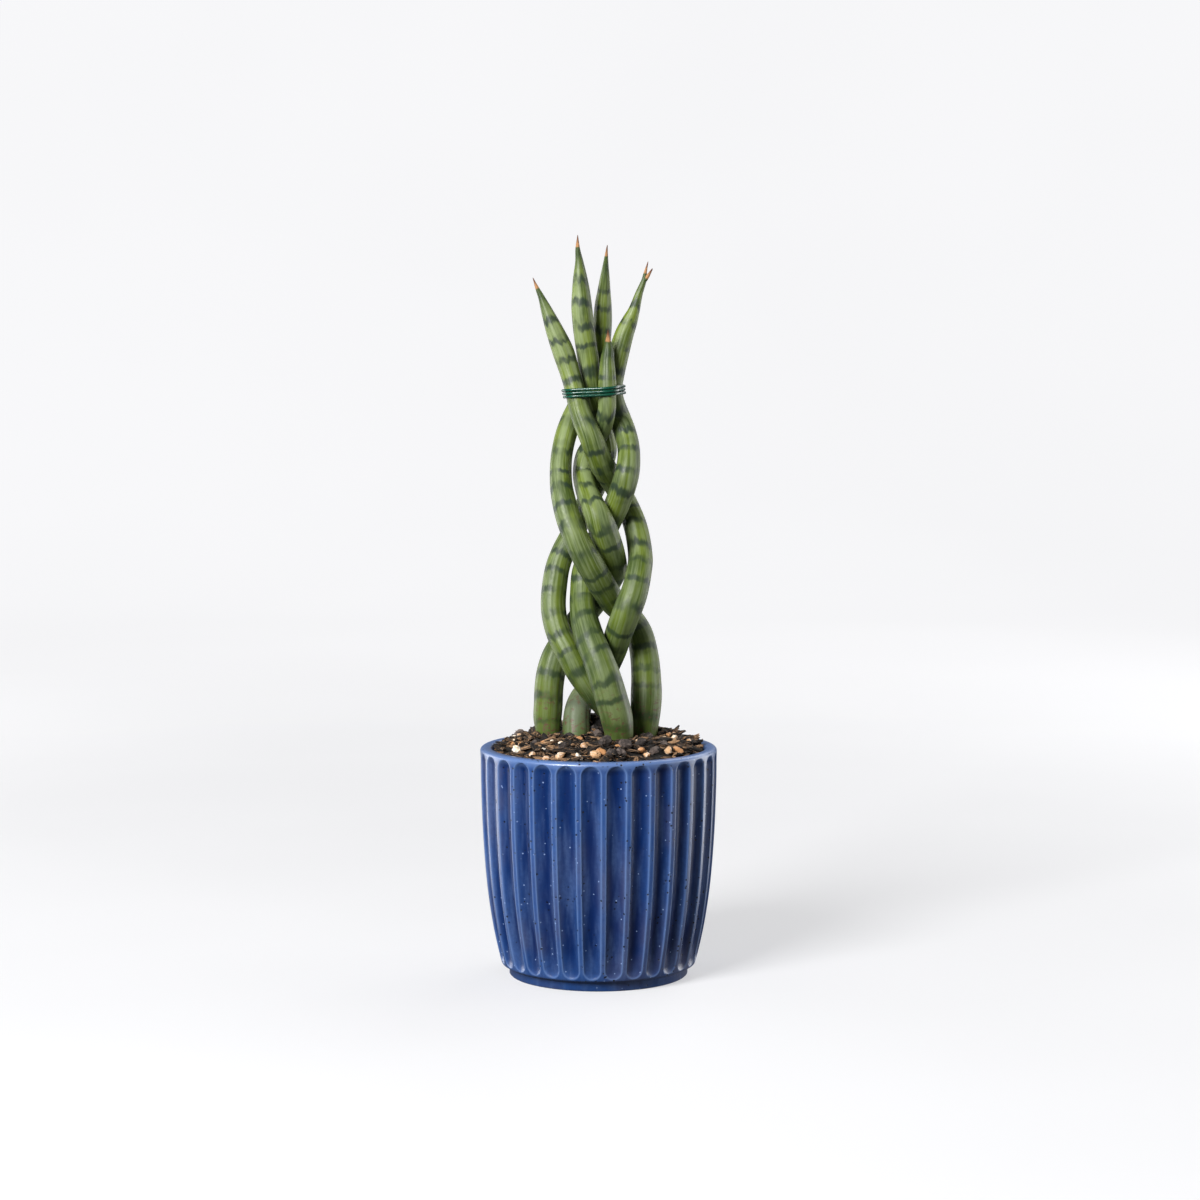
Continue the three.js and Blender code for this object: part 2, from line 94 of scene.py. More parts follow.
# Routes of the leaves' middles, as (x, y, z, radius), from the tip down into the mix
LEAF_ROUTES_MM = {
    "leaf_1": (
        (-41, -1, 442, 0.25), (-38.5, -1.5, 436, 1.25), (-35.5, -2, 429.5, 2.25), (-32.5, -2, 422, 3.75),
        (-27.5, -2.5, 409.5, 5.75), (-22, -2.5, 396, 7), (-18, -3.5, 383.5, 6.5), (-15, -6, 373.5, 6.5),
        (-10.5, -12, 356.5, 7), (-4, -15, 341, 7.5), (1.5, -8.5, 327, 8), (6.5, 1.5, 318.5, 8),
        (11.5, 9.5, 310.5, 7.75), (19, 12, 297, 7.5), (24, 7, 283.5, 7.75), (26.5, -2, 267.5, 8),
        (25.5, -11, 258, 8.25), (22.5, -17, 245.5, 8.75), (18, -18, 234, 9.25), (13, -11.5, 220, 9),
        (9, -1, 206.5, 8.75), (2, 9, 190.5, 8.5), (-5, 13, 181.5, 8.5), (-11, 10.5, 174, 8.5),
        (-13.5, 4.5, 166.5, 8.75), (-14, -0.5, 155, 9), (-13.5, -3, 145, 8), (-13.5, -4, 121.5, 7.5),
    ),
    "leaf_2": (
        (-13, -2, 468.5, 0.25), (-13, -1.5, 460.5, 1.5), (-12, -0.5, 452, 2.75), (-11.5, 0, 443, 4.5),
        (-11, 1, 434, 5.75), (-10.5, 1.5, 423.5, 6.75), (-9, 2.5, 408.5, 7), (-6.5, 4, 391, 7),
        (-5, 5.5, 375, 7), (-2, 9.5, 363, 7), (1.5, 13.5, 349.5, 7), (4.5, 17, 335.5, 7.25),
        (3, 19.5, 326, 7.25), (-0.5, 20.5, 314.5, 7.25), (-6.5, 19.5, 301.5, 7.25), (-12, 18, 289.5, 7.5),
        (-17.5, 15.5, 279, 7.5), (-22.5, 12.5, 269, 7.75), (-26, 9, 259, 8), (-28, 5, 246.5, 8.25),
        (-28.5, 1.5, 235, 8.25), (-27, -2, 225, 8.25), (-23.5, -5, 215.5, 8.5), (-18.5, -8, 206.5, 8.75),
        (-13.5, -9.5, 197, 8.75), (-7.5, -9, 188, 8.75), (-0.5, -5.5, 178.5, 8.75), (7.5, 3, 169.5, 8.75),
        (14, 11, 160, 8.5), (18, 16, 149, 8), (19, 18.5, 118, 7.25),
    ),
    "leaf_3": (
        (5.5, 3, 462.5, 0.25), (5, 6, 457, 1), (4.5, 8.5, 450, 2), (4, 10.5, 442, 3.25),
        (3.5, 12.5, 434.5, 4.25), (3, 14, 425.5, 5.5), (2.5, 15.5, 413, 6.25), (1, 16.5, 397, 6.25),
        (-2.5, 18, 384, 6.5), (-7.5, 20.5, 372.5, 6.75), (-12.5, 19, 362.5, 6.75), (-17, 12, 353, 7),
        (-21, 5, 342, 7), (-23.5, -2.5, 328, 7), (-23.5, -9.5, 314, 7.25), (-21.5, -16, 302.5, 7.75),
        (-18.5, -20.5, 291.5, 8), (-13.5, -23.5, 279.5, 8.25), (-8, -22.5, 268.5, 8.75), (-2, -18, 258, 9),
        (3.5, -10.5, 248, 8.75), (9.5, -1.5, 238, 8.5), (17, 4.5, 230.5, 8.25), (23, 7.5, 223.5, 8.25),
        (27, 8.5, 214.5, 9), (29.5, 8, 201.5, 9.5), (30.5, 6.5, 187.5, 10), (30.5, 4, 177, 10.25),
        (30, 2, 166.5, 9.75), (29.5, 0.5, 156, 8.5), (30, 0, 146, 7.75), (30.5, -1, 121, 7.25),
    ),
    "leaf_4": (
        (31, 0.5, 452, 0.25), (29.5, 1, 446, 1), (28.5, 1.5, 440.5, 1.75), (25.5, 2, 432.5, 2.5),
        (22.5, 2, 422.5, 3.75), (19.5, 2.5, 415, 5.25), (16, 2.5, 406.5, 6.25), (12.5, 2.5, 394, 6.75),
        (10, 2.5, 381.5, 6.5), (8.5, 1, 372.5, 6.75), (10, 1, 363.5, 7), (13.5, 3.5, 354, 7.25),
        (17, 0, 344.5, 7.25), (19, -6, 334.5, 7.25), (18.5, -11.5, 323.5, 7.75), (16, -11.5, 313, 8.25),
        (11.5, -4.5, 300, 8.25), (6, 3, 288, 8.25), (0.5, 9, 277, 8.5), (-5, 11.5, 266, 8.5),
        (-9, 7, 256, 8.25), (-10, 2.5, 245.5, 8.25), (-10, -3.5, 235, 8.5), (-8.5, -11, 226, 9.25),
        (-5, -18.5, 215.5, 9.75), (-0.5, -23, 205, 10), (4, -25.5, 193, 10.5), (8, -25, 179.5, 10.75),
        (11.5, -23, 166.5, 10.5), (13, -19.5, 154.5, 9.25), (13.5, -15.5, 144.5, 8.25),
        (14.5, -11, 122.5, 7.5),
    ),
    "leaf_5": (
        (6, -11.5, 409.5, 0.25), (6, -10, 403, 1.75), (6, -9, 396.5, 3.75), (5.5, -9, 389.5, 4.75),
        (5.5, -11, 378.5, 5.75), (5.5, -12, 367.5, 5.75), (5, -10.5, 358.5, 6), (2.5, -4.5, 349, 6.25),
        (-2.5, 2, 339.5, 6.5), (-8, 5.5, 330.5, 6.75), (-9.5, 5.5, 320, 7), (-8, -2, 311, 7.25),
        (-4.5, -11.5, 302, 8), (-0.5, -17, 293.5, 8.75), (2.5, -16.5, 286, 9.25), (5.5, -12.5, 277.5, 9.25),
        (8.5, -6, 268.5, 8.75), (10, 3.5, 259, 8.25), (6, 15, 249, 8.25), (-0.5, 19.5, 239.5, 8.25),
        (-8, 20, 230, 8.5), (-15.5, 18, 220.5, 8.75), (-22, 15, 211, 9), (-27, 11, 202.5, 9.25),
        (-30, 8.5, 193, 9.5), (-31.5, 7, 183, 9.5), (-32, 7, 172, 9.5), (-32.5, 7, 163, 9.25),
        (-32, 6, 155, 8.25), (-31.5, 5.5, 145, 7.25), (-31.5, 5, 120, 7),
    ),
}


class Slot(Enum):
    """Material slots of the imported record."""

    GLAZE = "pot_glaze"
    MIX = "potting_mix"
    LEAF = "leaf_skin"
    WIRE = "wire_coating"


class Grain(Enum):
    """Kinds of lump in the potting mix."""

    PUMICE = "pumice_grains"
    LAVA = "lava_grains"
    BARK = "bark_chips"


# Surfaces worked out with numpy


def spline(points: np.ndarray, per_span: int) -> np.ndarray:
    """Carry a smooth curve through points.

    Each span is the cubic whose slope at a point is half the step between that point's two
    neighbours. The end points' missing neighbours are their mirror images.

    Args:
        points: Array (n, k) of the points to pass through.
        per_span: Number of steps in each span.

    Returns:
        Array ((n - 1) * per_span + 1, k) of points along the curve.
    """
    padded = np.vstack([2 * points[0] - points[1], points, 2 * points[-1] - points[-2]])
    place = np.linspace(0, len(points) - 1, (len(points) - 1) * per_span + 1)
    span = np.minimum(place.astype(int), len(points) - 2)
    t = (place - span)[:, None]
    p0, p1, p2, p3 = (padded[span + k] for k in range(4))
    slope_in = 0.5 * (p2 - p0)
    slope_out = 0.5 * (p3 - p1)
    bend = 3 * (p2 - p1) - 2 * slope_in - slope_out
    twist = 2 * (p1 - p2) + slope_in + slope_out
    return p1 + slope_in * t + bend * t**2 + twist * t**3


def along_curve(points: np.ndarray) -> np.ndarray:
    """Measure the length from a curve's first point to each of its points.

    Args:
        points: Array (n, 3) of points.

    Returns:
        Array (n,) of lengths.
    """
    steps = np.linalg.norm(np.diff(points, axis=0), axis=1)
    return np.concatenate([[0.0], np.cumsum(steps)])


def even_turn(count: int) -> np.ndarray:
    """Divide a full turn into equal angles, the first at zero."""
    return 2 * math.pi * np.arange(count) / count


def soft_step(share: np.ndarray) -> np.ndarray:
    """Rise from 0 to 1 with a soft start and end, as three squares less two cubes."""
    inside = np.clip(share, 0, 1)
    return inside**2 * (3 - 2 * inside)


def turned(first: np.ndarray, second: np.ndarray, angle: np.ndarray) -> tuple[np.ndarray, np.ndarray]:
    """Turn a pair of coordinates by an angle, from the first axis towards the second."""
    return (first * np.cos(angle) - second * np.sin(angle),
            second * np.cos(angle) + first * np.sin(angle))


def round_axis(radius: np.ndarray | float, bearing: np.ndarray, height: np.ndarray | float
               ) -> np.ndarray:
    """Place points by radius, bearing from the front and height.

    Args:
        radius: Distances from the upright axis.
        bearing: Angles from the front, towards the right.
        height: Heights.

    Returns:
        Array of points, in the shape that the three share and 3.
    """
    across, deep = radius * np.sin(bearing), -radius * np.cos(bearing)
    return np.stack(np.broadcast_arrays(across, deep, height), -1)


def rings_along(centres: np.ndarray, reference: Sequence[float], reach: np.ndarray) -> np.ndarray:
    """Set a ring of points square to a curve at each of its points.

    A ring's first direction is the reference direction less its part along the curve, and the
    second is the curve's direction crossed with the first.

    Args:
        centres: Array (n, 3) of points along the curve.
        reference: Direction that the curve never runs along.
        reach: Array (n, m) of the distances of each ring's points from its middle.

    Returns:
        Array (n, m, 3) of rings of points.
    """
    ahead = np.gradient(centres, axis=0)
    ahead /= np.linalg.norm(ahead, axis=1, keepdims=True)
    wanted = np.broadcast_to(np.asarray(reference, float), ahead.shape)
    first = wanted - (wanted * ahead).sum(axis=1, keepdims=True) * ahead
    first /= np.linalg.norm(first, axis=1, keepdims=True)
    second = np.cross(ahead, first)
    around = even_turn(reach.shape[1])[None, :, None]
    return centres[:, None] + reach[..., None] * (first[:, None] * np.cos(around)
                                                  + second[:, None] * np.sin(around))


def grid_faces(rows: int, columns: int, close_rows: bool = False) -> np.ndarray:
    """List the four corners of each cell in a grid whose columns run round and meet.

    Args:
        rows: Number of rows of points.
        columns: Number of points in a row.
        close_rows: Whether the last row joins the first one.

    Returns:
        Array (cells, 4) of point numbers.
    """
    row = np.arange(rows if close_rows else rows - 1)[:, None]
    column = np.arange(columns)[None, :]
    below = row * columns
    above = (row + 1) % rows * columns
    beside = (column + 1) % columns
    corners = np.stack([below + column, below + beside, above + beside, above + column], axis=-1)
    return corners.reshape(-1, 4)


def capped_tube(rows: np.ndarray, first_pole: np.ndarray, last_pole: np.ndarray
                ) -> tuple[np.ndarray, list[list[int]]]:
    """Close a stack of rings with a fan of triangles at each end.

    Args:
        rows: Array (n, m, 3) of rings of points.
        first_pole: Point that closes the first ring.
        last_pole: Point that closes the last ring.

    Returns:
        Points and faces of the closed surface.
    """
    count, sides = rows.shape[:2]
    points = np.vstack([rows.reshape(-1, 3), first_pole, last_pole])
    around = np.arange(sides)
    beside = (around + 1) % sides
    first = np.full(sides, count * sides)
    last = first + 1
    top = (count - 1) * sides
    fans = np.vstack([np.stack([first, beside, around], 1),
                      np.stack([last, top + around, top + beside], 1)])
    return points, grid_faces(count, sides).tolist() + fans.tolist()


def smooth_noise(places: np.ndarray, size: float, seed: int) -> np.ndarray:
    """Sum sine waves that run in random directions, three in each octave.

    Args:
        places: Array (..., 3) of points.
        size: Length of the longest wave.
        seed: Seed of the waves' directions and phases.

    Returns:
        Array of heights between about -1 and 1, one for each point.
    """
    draw = np.random.default_rng(seed)
    total = np.zeros(places.shape[:-1])
    for octave in range(OCTAVES):
        direction = draw.normal(size=(3, 3))
        direction /= np.linalg.norm(direction, axis=1, keepdims=True)
        turns = places @ (direction.T * (2 * math.pi * OCTAVE_SHORTER**octave / size))
        waves = np.sin(turns + draw.uniform(0, 2 * math.pi, 3))
        total += waves.mean(axis=-1) / OCTAVE_LOWER**octave
    return total / NOISE_HEIGHT


def mound_height(x: np.ndarray, y: np.ndarray) -> np.ndarray:
    """Find the mix's height: low at the pot's wall, with a steep bank up to a broad top.

    The height falls from the middle with the fourth power of the distance, and a few heaps
    stand on it as bell curves.

    Args:
        x: Places to the right.
        y: Places towards the back.

    Returns:
        Heights of the mix.
    """
    share = np.minimum(np.hypot(x, y) / MOUND_RADIUS, 1)
    height = MOUND_EDGE + MOUND_RISE * (1 - share**4)
    for middle_x, middle_y, reach, rise in HEAPS_MM:
        away = np.hypot(x - middle_x * MM, y - middle_y * MM) / (reach * MM)
        height = height + rise * MM * np.exp(-away**2)
    return height


# Putting surfaces into Blender


def link_object(name: str, data: bpy.types.ID) -> bpy.types.Object:
    """Put a mesh, light or camera into the scene as an object.

    Args:
        name: Name of the object.
        data: Mesh, light or camera.

    Returns:
        The new object.
    """
    made = bpy.data.objects.new(name, data)
    bpy.context.scene.collection.objects.link(made)
    return made


def link_mesh(name: str, points: np.ndarray, faces: Sequence[Sequence[int]],
              material: bpy.types.Material, smooth: bool = True) -> bpy.types.Object:
    """Put a surface into the scene as an object of one material.

    Args:
        name: Name of the object.
        points: Array (n, 3) of its points.
        faces: Corners of its faces, anticlockwise from outside.
        material: Its material.
        smooth: Whether its faces are shaded as one smooth surface.

    Returns:
        The new object.
    """
    mesh = bpy.data.meshes.new(name)
    mesh.from_pydata(points.tolist(), [], faces)
    mesh.validate()
    mesh.polygons.foreach_set("use_smooth", np.full(len(mesh.polygons), smooth))
    mesh.update()
    mesh.materials.append(material)
    return link_object(name, mesh)


def make_piece(name: str, points: np.ndarray, faces: Sequence[Sequence[int]], slot: Slot,
               material: bpy.types.Material, stands_for: Sequence[str] = (), smooth: bool = True,
               **values: np.ndarray) -> bpy.types.Object:
    """Make a mesh object that rides on the plant's one body.

    Args:
        name: Name of the piece.
        points: Array (n, 3) of its points.
        faces: Corners of its faces, anticlockwise from outside.
        slot: Material slot of the record; not used.
        material: Its material.
        stands_for: Nodes of the frame that it replaces.
        smooth: Whether its faces are shaded as one smooth surface.
        **values: Arrays of a number or a vector at each point, for the material to read.

    Returns:
        The new object.
    """
    piece = link_mesh(name, points, faces, material, smooth)
    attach(piece, BODY)
    if stands_for:
        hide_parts(*stands_for)
    for key, numbers in values.items():
        give_value(piece, key, numbers)
    LOG.info("%s: %d points, %d faces", name, len(piece.data.vertices), len(piece.data.polygons))
    return piece


def give_value(piece: bpy.types.Object, name: str, values: np.ndarray) -> None:
    """Store a number or a vector at each point of a piece for its material to read.

    Args:
        piece: Object to store on.
        name: Name of the attribute.
        values: Array (n,) of numbers or (n, 3) of vectors.
    """
    is_vector = values.ndim == 2
    kind, key = ("FLOAT_VECTOR", "vector") if is_vector else ("FLOAT", "value")
    layer = piece.data.attributes.new(name, kind, "POINT")
    layer.data.foreach_set(key, np.ascontiguousarray(values, dtype=np.float32).ravel())


# Materials

Socket = bpy.types.NodeSocket
Triple = tuple[float, float, float]
Colour = Triple


class Shading:
    """A material's node tree, built with short calls."""

    def __init__(self, name: str, roughness: float) -> None:
        """Start a material with one surface shader.

        Args:
            name: Name of the material.
            roughness: Roughness until another is linked.
        """
        self.material = bpy.data.materials.new(name)
        self.material.use_nodes = True
        self.tree = self.material.node_tree
        self.shader = self.tree.nodes["Principled BSDF"]
        self.shader.inputs["Roughness"].default_value = roughness

    def node(self, kind: str, **settings: object) -> bpy.types.Node:
        """Add a node and set its properties.

        Args:
            kind: Node type.
            **settings: Properties of the node.

        Returns:
            The new node.
        """
        made = self.tree.nodes.new(kind)
        for key, value in settings.items():
            setattr(made, key, value)
        return made

    def feed(self, socket: Socket, value: object) -> None:
        """Link a socket to an output, or set its value.

        Args:
            socket: Input to feed.
            value: Output socket, number or tuple.
        """
        if isinstance(value, bpy.types.NodeSocket):
            self.tree.links.new(value, socket)
        elif isinstance(value, tuple) and socket.type == "RGBA":
            socket.default_value = (*value, 1)
        else:
            socket.default_value = value

    def attribute(self, name: str, vector: bool = False) -> Socket:
        """Read a value stored on the piece's points."""
        made = self.node("ShaderNodeAttribute", attribute_name=name)
        return made.outputs["Vector" if vector else "Fac"]

    def place(self) -> Socket:
        """Read the place on the piece, in metres."""
        return self.node("ShaderNodeTexCoord").outputs["Object"]

    def stretched(self, vector: Socket, scale: Triple, offset: Triple = (0, 0, 0)) -> Socket:
        """Scale a place in each direction and shift it.

        Args:
            vector: Place.
            scale: Factor in each direction, where a smaller one draws a pattern out longer.
            offset: Shift after scaling.

        Returns:
            The new place.
        """
        made = self.node("ShaderNodeMapping")
        self.feed(made.inputs["Vector"], vector)
        made.inputs["Scale"].default_value = scale
        made.inputs["Location"].default_value = offset
        return made.outputs["Vector"]

    def noise(self, vector: Socket, scale: float, detail: float = 3, roughness: float = 0.55) -> Socket:
        """Draw a cloudy pattern between 0 and 1.

        Args:
            vector: Place to draw at.
            scale: Clouds in a metre.
            detail: Number of finer layers.
            roughness: Strength of each finer layer against the last.

        Returns:
            The pattern.
        """
        made = self.node("ShaderNodeTexNoise")
        self.feed(made.inputs["Vector"], vector)
        made.inputs["Scale"].default_value = scale
        made.inputs["Detail"].default_value = detail
        made.inputs["Roughness"].default_value = roughness
        return made.outputs["Fac"]

    def cells(self, vector: Socket, scale: float) -> Socket:
        """Draw a pattern of cells, as the distance from each cell's middle.

        Args:
            vector: Place to draw at.
            scale: Cells in a metre.

        Returns:
            The distance, as a share of a cell.
        """
        made = self.node("ShaderNodeTexVoronoi")
        self.feed(made.inputs["Vector"], vector)
        made.inputs["Scale"].default_value = scale
        return made.outputs["Distance"]

    def maths(self, operation: str, *values: object) -> Socket:
        """Work out one formula.

        Args:
            operation: Name of the node's operation.
            *values: Sockets or numbers that go into it.

        Returns:
            The result.
        """
        made = self.node("ShaderNodeMath", operation=operation)
        for socket, value in zip(made.inputs, values):
            self.feed(socket, value)
        return made.outputs[0]

    def times(self, first: object, second: object) -> Socket:
        """Multiply two numbers."""
        return self.maths("MULTIPLY", first, second)

    def wander(self, pattern: Socket, size: float, base: object) -> Socket:
        """Add to a number a pattern between 0 and 1, less a half and times a size."""
        return self.maths("MULTIPLY_ADD", self.maths("SUBTRACT", pattern, 0.5), size, base)

    def height_of(self, vector: Socket) -> Socket:
        """Take a place's third number.

        Args:
            vector: Place.

        Returns:
            Its height.
        """
        made = self.node("ShaderNodeSeparateXYZ")
        self.feed(made.inputs[0], vector)
        return made.outputs[2]

    def between(self, value: object, low: float, high: float, start: float = 0.0,
                end: float = 1.0) -> Socket:
        """Carry a number from one range to another with a soft start and end.

        Args:
            value: Number to carry.
            low: Where the first range starts.
            high: Where it ends, which may lie below its start.
            start: Result up to the first range's start.
            end: Result from its end on.

        Returns:
            The number in the second range.
        """
        made = self.node("ShaderNodeMapRange", interpolation_type="SMOOTHSTEP")
        for name, number in (("Value", value), ("From Min", low), ("From Max", high),
                             ("To Min", start), ("To Max", end)):
            self.feed(made.inputs[name], number)
        return made.outputs["Result"]

    def mix(self, share: object, first: object, second: object) -> Socket:
        """Mix two colours.

        Args:
            share: Share of the second one.
            first: Colour or its socket.
            second: Colour or its socket.

        Returns:
            The mixed colour.
        """
        made = self.node("ShaderNodeMix", data_type="RGBA")
        self.feed(made.inputs["Factor"], share)
        self.feed(made.inputs[6], first)
        self.feed(made.inputs[7], second)
        return made.outputs[2]

    def layered(self, colour: object, *layers: tuple[object, object]) -> Socket:
        """Lay colours over one another.

        Args:
            colour: Colour at the bottom.
            *layers: Share and colour of each layer, from the bottom up.

        Returns:
            The colour on top.
        """
        for share, layer in layers:
            colour = self.mix(share, colour, layer)
        return colour

    def coat(self, weight: float, roughness: float) -> None:
        """Lay a clear coat over the shader."""
        self.shader.inputs["Coat Weight"].default_value = weight
        self.shader.inputs["Coat Roughness"].default_value = roughness

    def bump(self, height: Socket, distance: float, strength: float,
             under: Socket | None = None) -> Socket:
        """Turn a height between 0 and 1 into a tilt of the surface.

        Args:
            height: The height.
            distance: Depth of a height of 1, in metres.
            strength: Share of the tilt that is kept.
            under: Tilt that it is laid on.

        Returns:
            The tilt.
        """
        made = self.node("ShaderNodeBump")
        self.feed(made.inputs["Height"], height)
        made.inputs["Distance"].default_value = distance
        made.inputs["Strength"].default_value = strength
        if under is not None:
            self.feed(made.inputs["Normal"], under)
        return made.outputs["Normal"]

    def finish(self, colour: Socket, normal: Socket, roughness: Socket | None = None
               ) -> bpy.types.Material:
        """Link the shader's inputs.

        Args:
            colour: Base colour.
            normal: Surface tilt.
            roughness: Roughness, if it varies.

        Returns:
            The finished material.
        """
        self.feed(self.shader.inputs["Base Color"], colour)
        self.feed(self.shader.inputs["Normal"], normal)
        if roughness is not None:
            self.feed(self.shader.inputs["Roughness"], roughness)
        return self.material


@dataclass(frozen=True)
class LeafSkin:
    """Waxy skin of a round leaf: sage and yellow green stripes, dark cross bands, a dry tip, painted shade
    low down.
    """

    sage: Colour = (0.205, 0.262, 0.096)
    yellow_green: Colour = (0.135, 0.186, 0.014)
    # Deep green of the leaf, also used as painted shade towards its base
    deep_green_and_shade: Colour = (0.034, 0.062, 0.008)
    pale_streak: Colour = (0.27, 0.33, 0.16)
    band: Colour = (0.016, 0.032, 0.021)
    tip_tan: Colour = (0.44, 0.225, 0.095)
    tip_end: Colour = (0.13, 0.045, 0.018)
    grey: Colour = (0.20, 0.22, 0.17)
    scar: Colour = (0.115, 0.052, 0.034)
    base_green: Colour = (0.085, 0.135, 0.020)
    band_spacing: float = 14.0 * MM
    tip_length: float = 7.0 * MM
    tip_edge: float = 0.5 * MM
    tip_wander: float = 1.6 * MM

    def build(self) -> bpy.types.Material:
        """Make the leaf material.

        The pattern is laid on the leaf as if it were unbent, in the attribute skin, with its
        third number running along the leaf.

        Returns:
            The material.
        """
        s = Shading("leaf_skin", 0.42)
        skin = s.attribute("skin", vector=True)
        from_tip, above_mix, age = (s.attribute(name) for name in ("from_tip", "above_mix", "age"))
        fine = s.noise(s.stretched(skin, (1, 1, 0.035)), 950, 3, 0.6)
        stripes = s.noise(s.stretched(skin, (1, 1, 0.05)), 170, 2)
        patches = s.noise(s.stretched(skin, (1, 1, 0.4)), 80, 3)
        flecks = s.noise(skin, 620, 4, 0.65)
        pits = s.noise(s.stretched(skin, (1, 1, 1.6)), 300, 3, 0.7)
        dark = s.maths("MAXIMUM", self.bands(s, skin, 1.0, 0.0),
                       s.times(self.bands(s, skin, 0.5, 3.7), 0.5))
        near_mix = s.between(above_mix, 8 * MM, 45 * MM, 1, 0)
        tip = s.wander(flecks, self.tip_wander, from_tip)
        in_tip = s.between(tip, self.tip_length - self.tip_edge, self.tip_length + self.tip_edge, 1, 0)
        dry = s.layered(
            self.tip_end,
            (s.between(tip, 1 * MM, 5.5 * MM), self.tip_tan),
            (s.between(fine, 0.5, 0.7, 0, 0.4), self.tip_end),
        )
        green = s.layered(
            self.sage,
            (s.between(stripes, 0.40, 0.54), self.yellow_green),
            (s.between(patches, 0.40, 0.66, 0, 0.85), self.deep_green_and_shade),
            (s.between(fine, 0.40, 0.66, 0, 0.42), self.pale_streak),
            (s.between(fine, 0.44, 0.30, 0, 0.30), self.deep_green_and_shade),
            (dark, self.band),
            (s.between(from_tip, self.tip_length, 30 * MM, 0.85, 0), self.deep_green_and_shade),
            (s.times(s.times(age, near_mix), 0.85), self.grey),
            (s.between(above_mix, 1 * MM, 22 * MM, 0.75, 0), self.base_green),
            # Painted shade: the leaves darken towards the mix, low in the bundle
            (s.between(above_mix, 20 * MM, 200 * MM, 0.38, 0), self.deep_green_and_shade),
            (s.times(s.between(pits, 0.55, 0.63, 0, 0.8), near_mix), self.scar),
            (in_tip, dry),
        )
        relief = s.bump(stripes, 0.9 * MM, 0.5)
        relief = s.bump(fine, 0.16 * MM, 0.5, relief)
        relief = s.bump(flecks, 0.10 * MM, 0.35, relief)
        gloss = s.between(flecks, 0.3, 0.7, 0.42, 0.55)
        gloss = s.maths("ADD", gloss, s.between(tip, 6 * MM, 9 * MM, 0.3, 0))
        s.shader.inputs["Specular IOR Level"].default_value = 0.4
        return s.finish(green, relief, gloss)

    def bands(self, s: Shading, skin: Socket, strength: float, shift: float) -> Socket:
        """Draw soft, slightly jagged cross bands.

        A cosine runs along the leaf. Slow noise spreads its crests unevenly, noise in stripes
        makes them jagged, wider noise tilts them, patchy noise weakens some, and adding a sine
        of the same angle makes each band sharper on one side.

        Args:
            s: Shading to draw in.
            skin: Place on the unbent leaf.
            strength: Darkest share.
            shift: Shift of the noise, so that two sets of bands differ.

        Returns:
            Share of the band colour.
        """
        offset = (shift, shift, shift)
        slow = s.noise(s.stretched(skin, (0.1, 0.1, 1), offset), 30, 1)
        jagged = s.noise(s.stretched(skin, (1, 1, 0.10), offset), 260, 3, 0.55)
        tilted = s.noise(s.stretched(skin, (1, 1, 0.3), offset), 60, 1)
        broken = s.noise(s.stretched(skin, (1, 1, 0.8), offset), 95, 2)
        place = s.height_of(skin)
        for pattern, size in ((slow, 26 * MM), (jagged, 8.5 * MM), (tilted, 8 * MM)):
            place = s.wander(pattern, size, place)
        turn = s.times(place, 2 * math.pi / self.band_spacing)
        turn = s.maths("MULTIPLY_ADD", s.maths("SINE", turn), 0.4, turn)
        crest = s.between(s.maths("COSINE", turn), -0.42, 0.90)
        return s.times(crest, s.between(broken, 0.34, 0.58, 0.25 * strength, 0.9 * strength))


